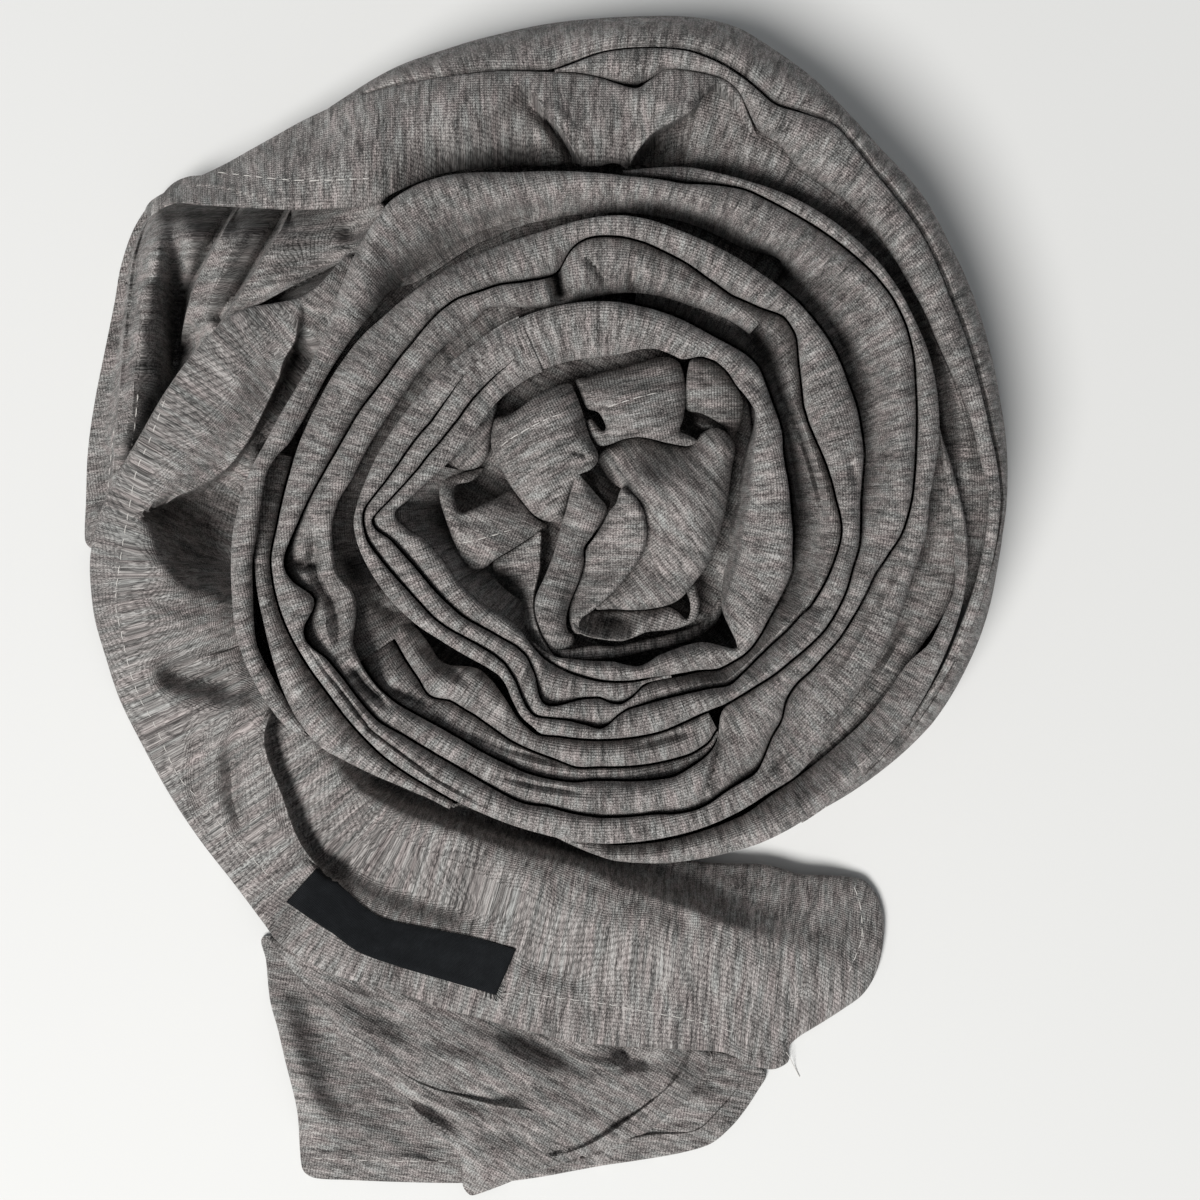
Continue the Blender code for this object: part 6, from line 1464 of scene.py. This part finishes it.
def label_weave():
    g = Graph("label_weave")
    at = g.node("ShaderNodeAttribute", attribute_name="cloth")
    sep = g.node("ShaderNodeSeparateXYZ")
    g.t.links.new(at.outputs["Vector"], sep.inputs[0])
    u, v, w = sep.outputs
    warp = g.math("SINE", g.math("MULTIPLY", u, 2 * math.pi / 0.00034))
    weft = g.math("SINE", g.math("ADD", g.math("MULTIPLY", v, 2 * math.pi / 0.00042), g.math("MULTIPLY", u, 2 * math.pi / 0.0011)))
    fibre = g.noise(g.vec(g.math("MULTIPLY", u, 900.0), g.math("MULTIPLY", v, 4200.0), w), 1.0, 2.0, 0.6)
    wear = g.noise(g.vec(g.math("MULTIPLY", u, 240.0), g.math("MULTIPLY", v, 240.0), w), 1.0, 3.0, 0.6)
    high = g.math("ADD", g.math("MULTIPLY", warp, 0.35), g.math("ADD", g.math("MULTIPLY", weft, 0.5), fibre))
    # partly painted shade: the weave's relief lightens the threads' crowns and darkens the gaps between them; the fibre
    # and wear terms are random tone of the yarn
    tone = g.math("ADD", g.math("MULTIPLY", high, 0.30), g.math("MULTIPLY", wear, 0.55))
    g.put(g.bsdf.inputs["Base Color"], g.ramp(tone, ((0.15, (0.0020, 0.0028, 0.0038)), (0.55, (0.0075, 0.0090, 0.0108)), (0.85, (0.024, 0.027, 0.031)))))
    bump = g.node("ShaderNodeBump")
    bump.inputs["Strength"].default_value = 0.8
    bump.inputs["Distance"].default_value = 0.00014
    g.t.links.new(high, bump.inputs["Height"])
    g.t.links.new(bump.outputs["Normal"], g.bsdf.inputs["Normal"])
    g.put(g.bsdf.inputs["Roughness"], g.span(fibre, 0.3, 0.7, 0.82, 0.68))
    g.bsdf.inputs["Specular IOR Level"].default_value = 0.18
    return g.m


def thread_mat():
    g = Graph("sewing_thread")
    at = g.node("ShaderNodeAttribute", attribute_name="cloth")
    f = g.noise(at.outputs["Vector"], 2600.0, 2.0, 0.6)
    g.put(g.bsdf.inputs["Base Color"], g.ramp(f, ((0.3, (0.46, 0.44, 0.42)), (0.7, (0.72, 0.70, 0.67)))))
    bump = g.node("ShaderNodeBump")
    bump.inputs["Strength"].default_value = 0.4
    bump.inputs["Distance"].default_value = 0.00004
    g.t.links.new(f, bump.inputs["Height"])
    g.t.links.new(bump.outputs["Normal"], g.bsdf.inputs["Normal"])
    g.bsdf.inputs["Roughness"].default_value = 0.7
    return g.m


cloth_mat, woven, thread = jersey(), label_weave(), thread_mat()
for ob in list(bpy.context.scene.objects):
    if ob.type != "MESH":
        continue
    if ob.name.startswith("stitches"):
        mat = thread
    elif ob.name in ("label_cloth", "label_fray"):
        mat = woven
    elif "cloth" in ob.data.attributes:
        mat = cloth_mat
    else:
        continue
    ob.data.materials.clear()
    ob.data.materials.append(mat)

# ---------------------------------------------------------------- floor, light and camera
floor_mesh = bpy.data.meshes.new("floor")
floor_mesh.from_pydata([(-2, -2, 0), (2, -2, 0), (2, 2, 0), (-2, 2, 0)], [], [(0, 1, 2, 3)])
floor = bpy.data.objects.new("floor", floor_mesh)
bpy.context.scene.collection.objects.link(floor)
g = Graph("pale_floor")
co = g.node("ShaderNodeTexCoord")
g.put(g.bsdf.inputs["Base Color"], g.ramp(g.noise(co.outputs["Object"], 3.0, 2.0), ((0.3, (0.772, 0.776, 0.768)), (0.7, (0.786, 0.790, 0.782)))))
g.bsdf.inputs["Roughness"].default_value = 0.9
g.bsdf.inputs["Specular IOR Level"].default_value = 0.1
floor_mesh.materials.append(g.m)


def area(name, at, size, watts, colour, aim=(0, 0, 0.03)):
    data = bpy.data.lights.new(name, "AREA")
    data.shape, data.size, data.energy, data.color = "DISK", size, watts, colour
    ob = bpy.data.objects.new(name, data)
    ob.location = at
    ob.rotation_mode = "QUATERNION"
    ob.rotation_quaternion = (Vector(aim) - Vector(at)).to_track_quat("-Z", "Y")
    bpy.context.scene.collection.objects.link(ob)


area("key", (-0.86, -1.20, 2.13), 1.15, 74.0, (1.0, 0.985, 0.965), (0, -0.02, 0.03))
world = bpy.data.worlds.new("studio")
world.use_nodes = True
world.node_tree.nodes["Background"].inputs[0].default_value = (0.93, 0.965, 1.0, 1.0)
world.node_tree.nodes["Background"].inputs[1].default_value = 0.215
bpy.context.scene.world = world

cam_data = bpy.data.cameras.new("camera")
cam_data.sensor_width, cam_data.lens = 36.0, 18.0 * EYE_STEPS / PLAN_HALF
cam_data.clip_start, cam_data.clip_end = 0.01, 10.0
cam = bpy.data.objects.new("camera", cam_data)
cam.location = (0.0, EYE_Y, EYE_HEIGHT)
cam.rotation_euler = (0.0, 0.0, 0.0)
bpy.context.scene.collection.objects.link(cam)
bpy.context.scene.camera = cam
bpy.context.scene.view_settings.view_transform = "Standard"
bpy.context.scene.view_settings.look = "None"
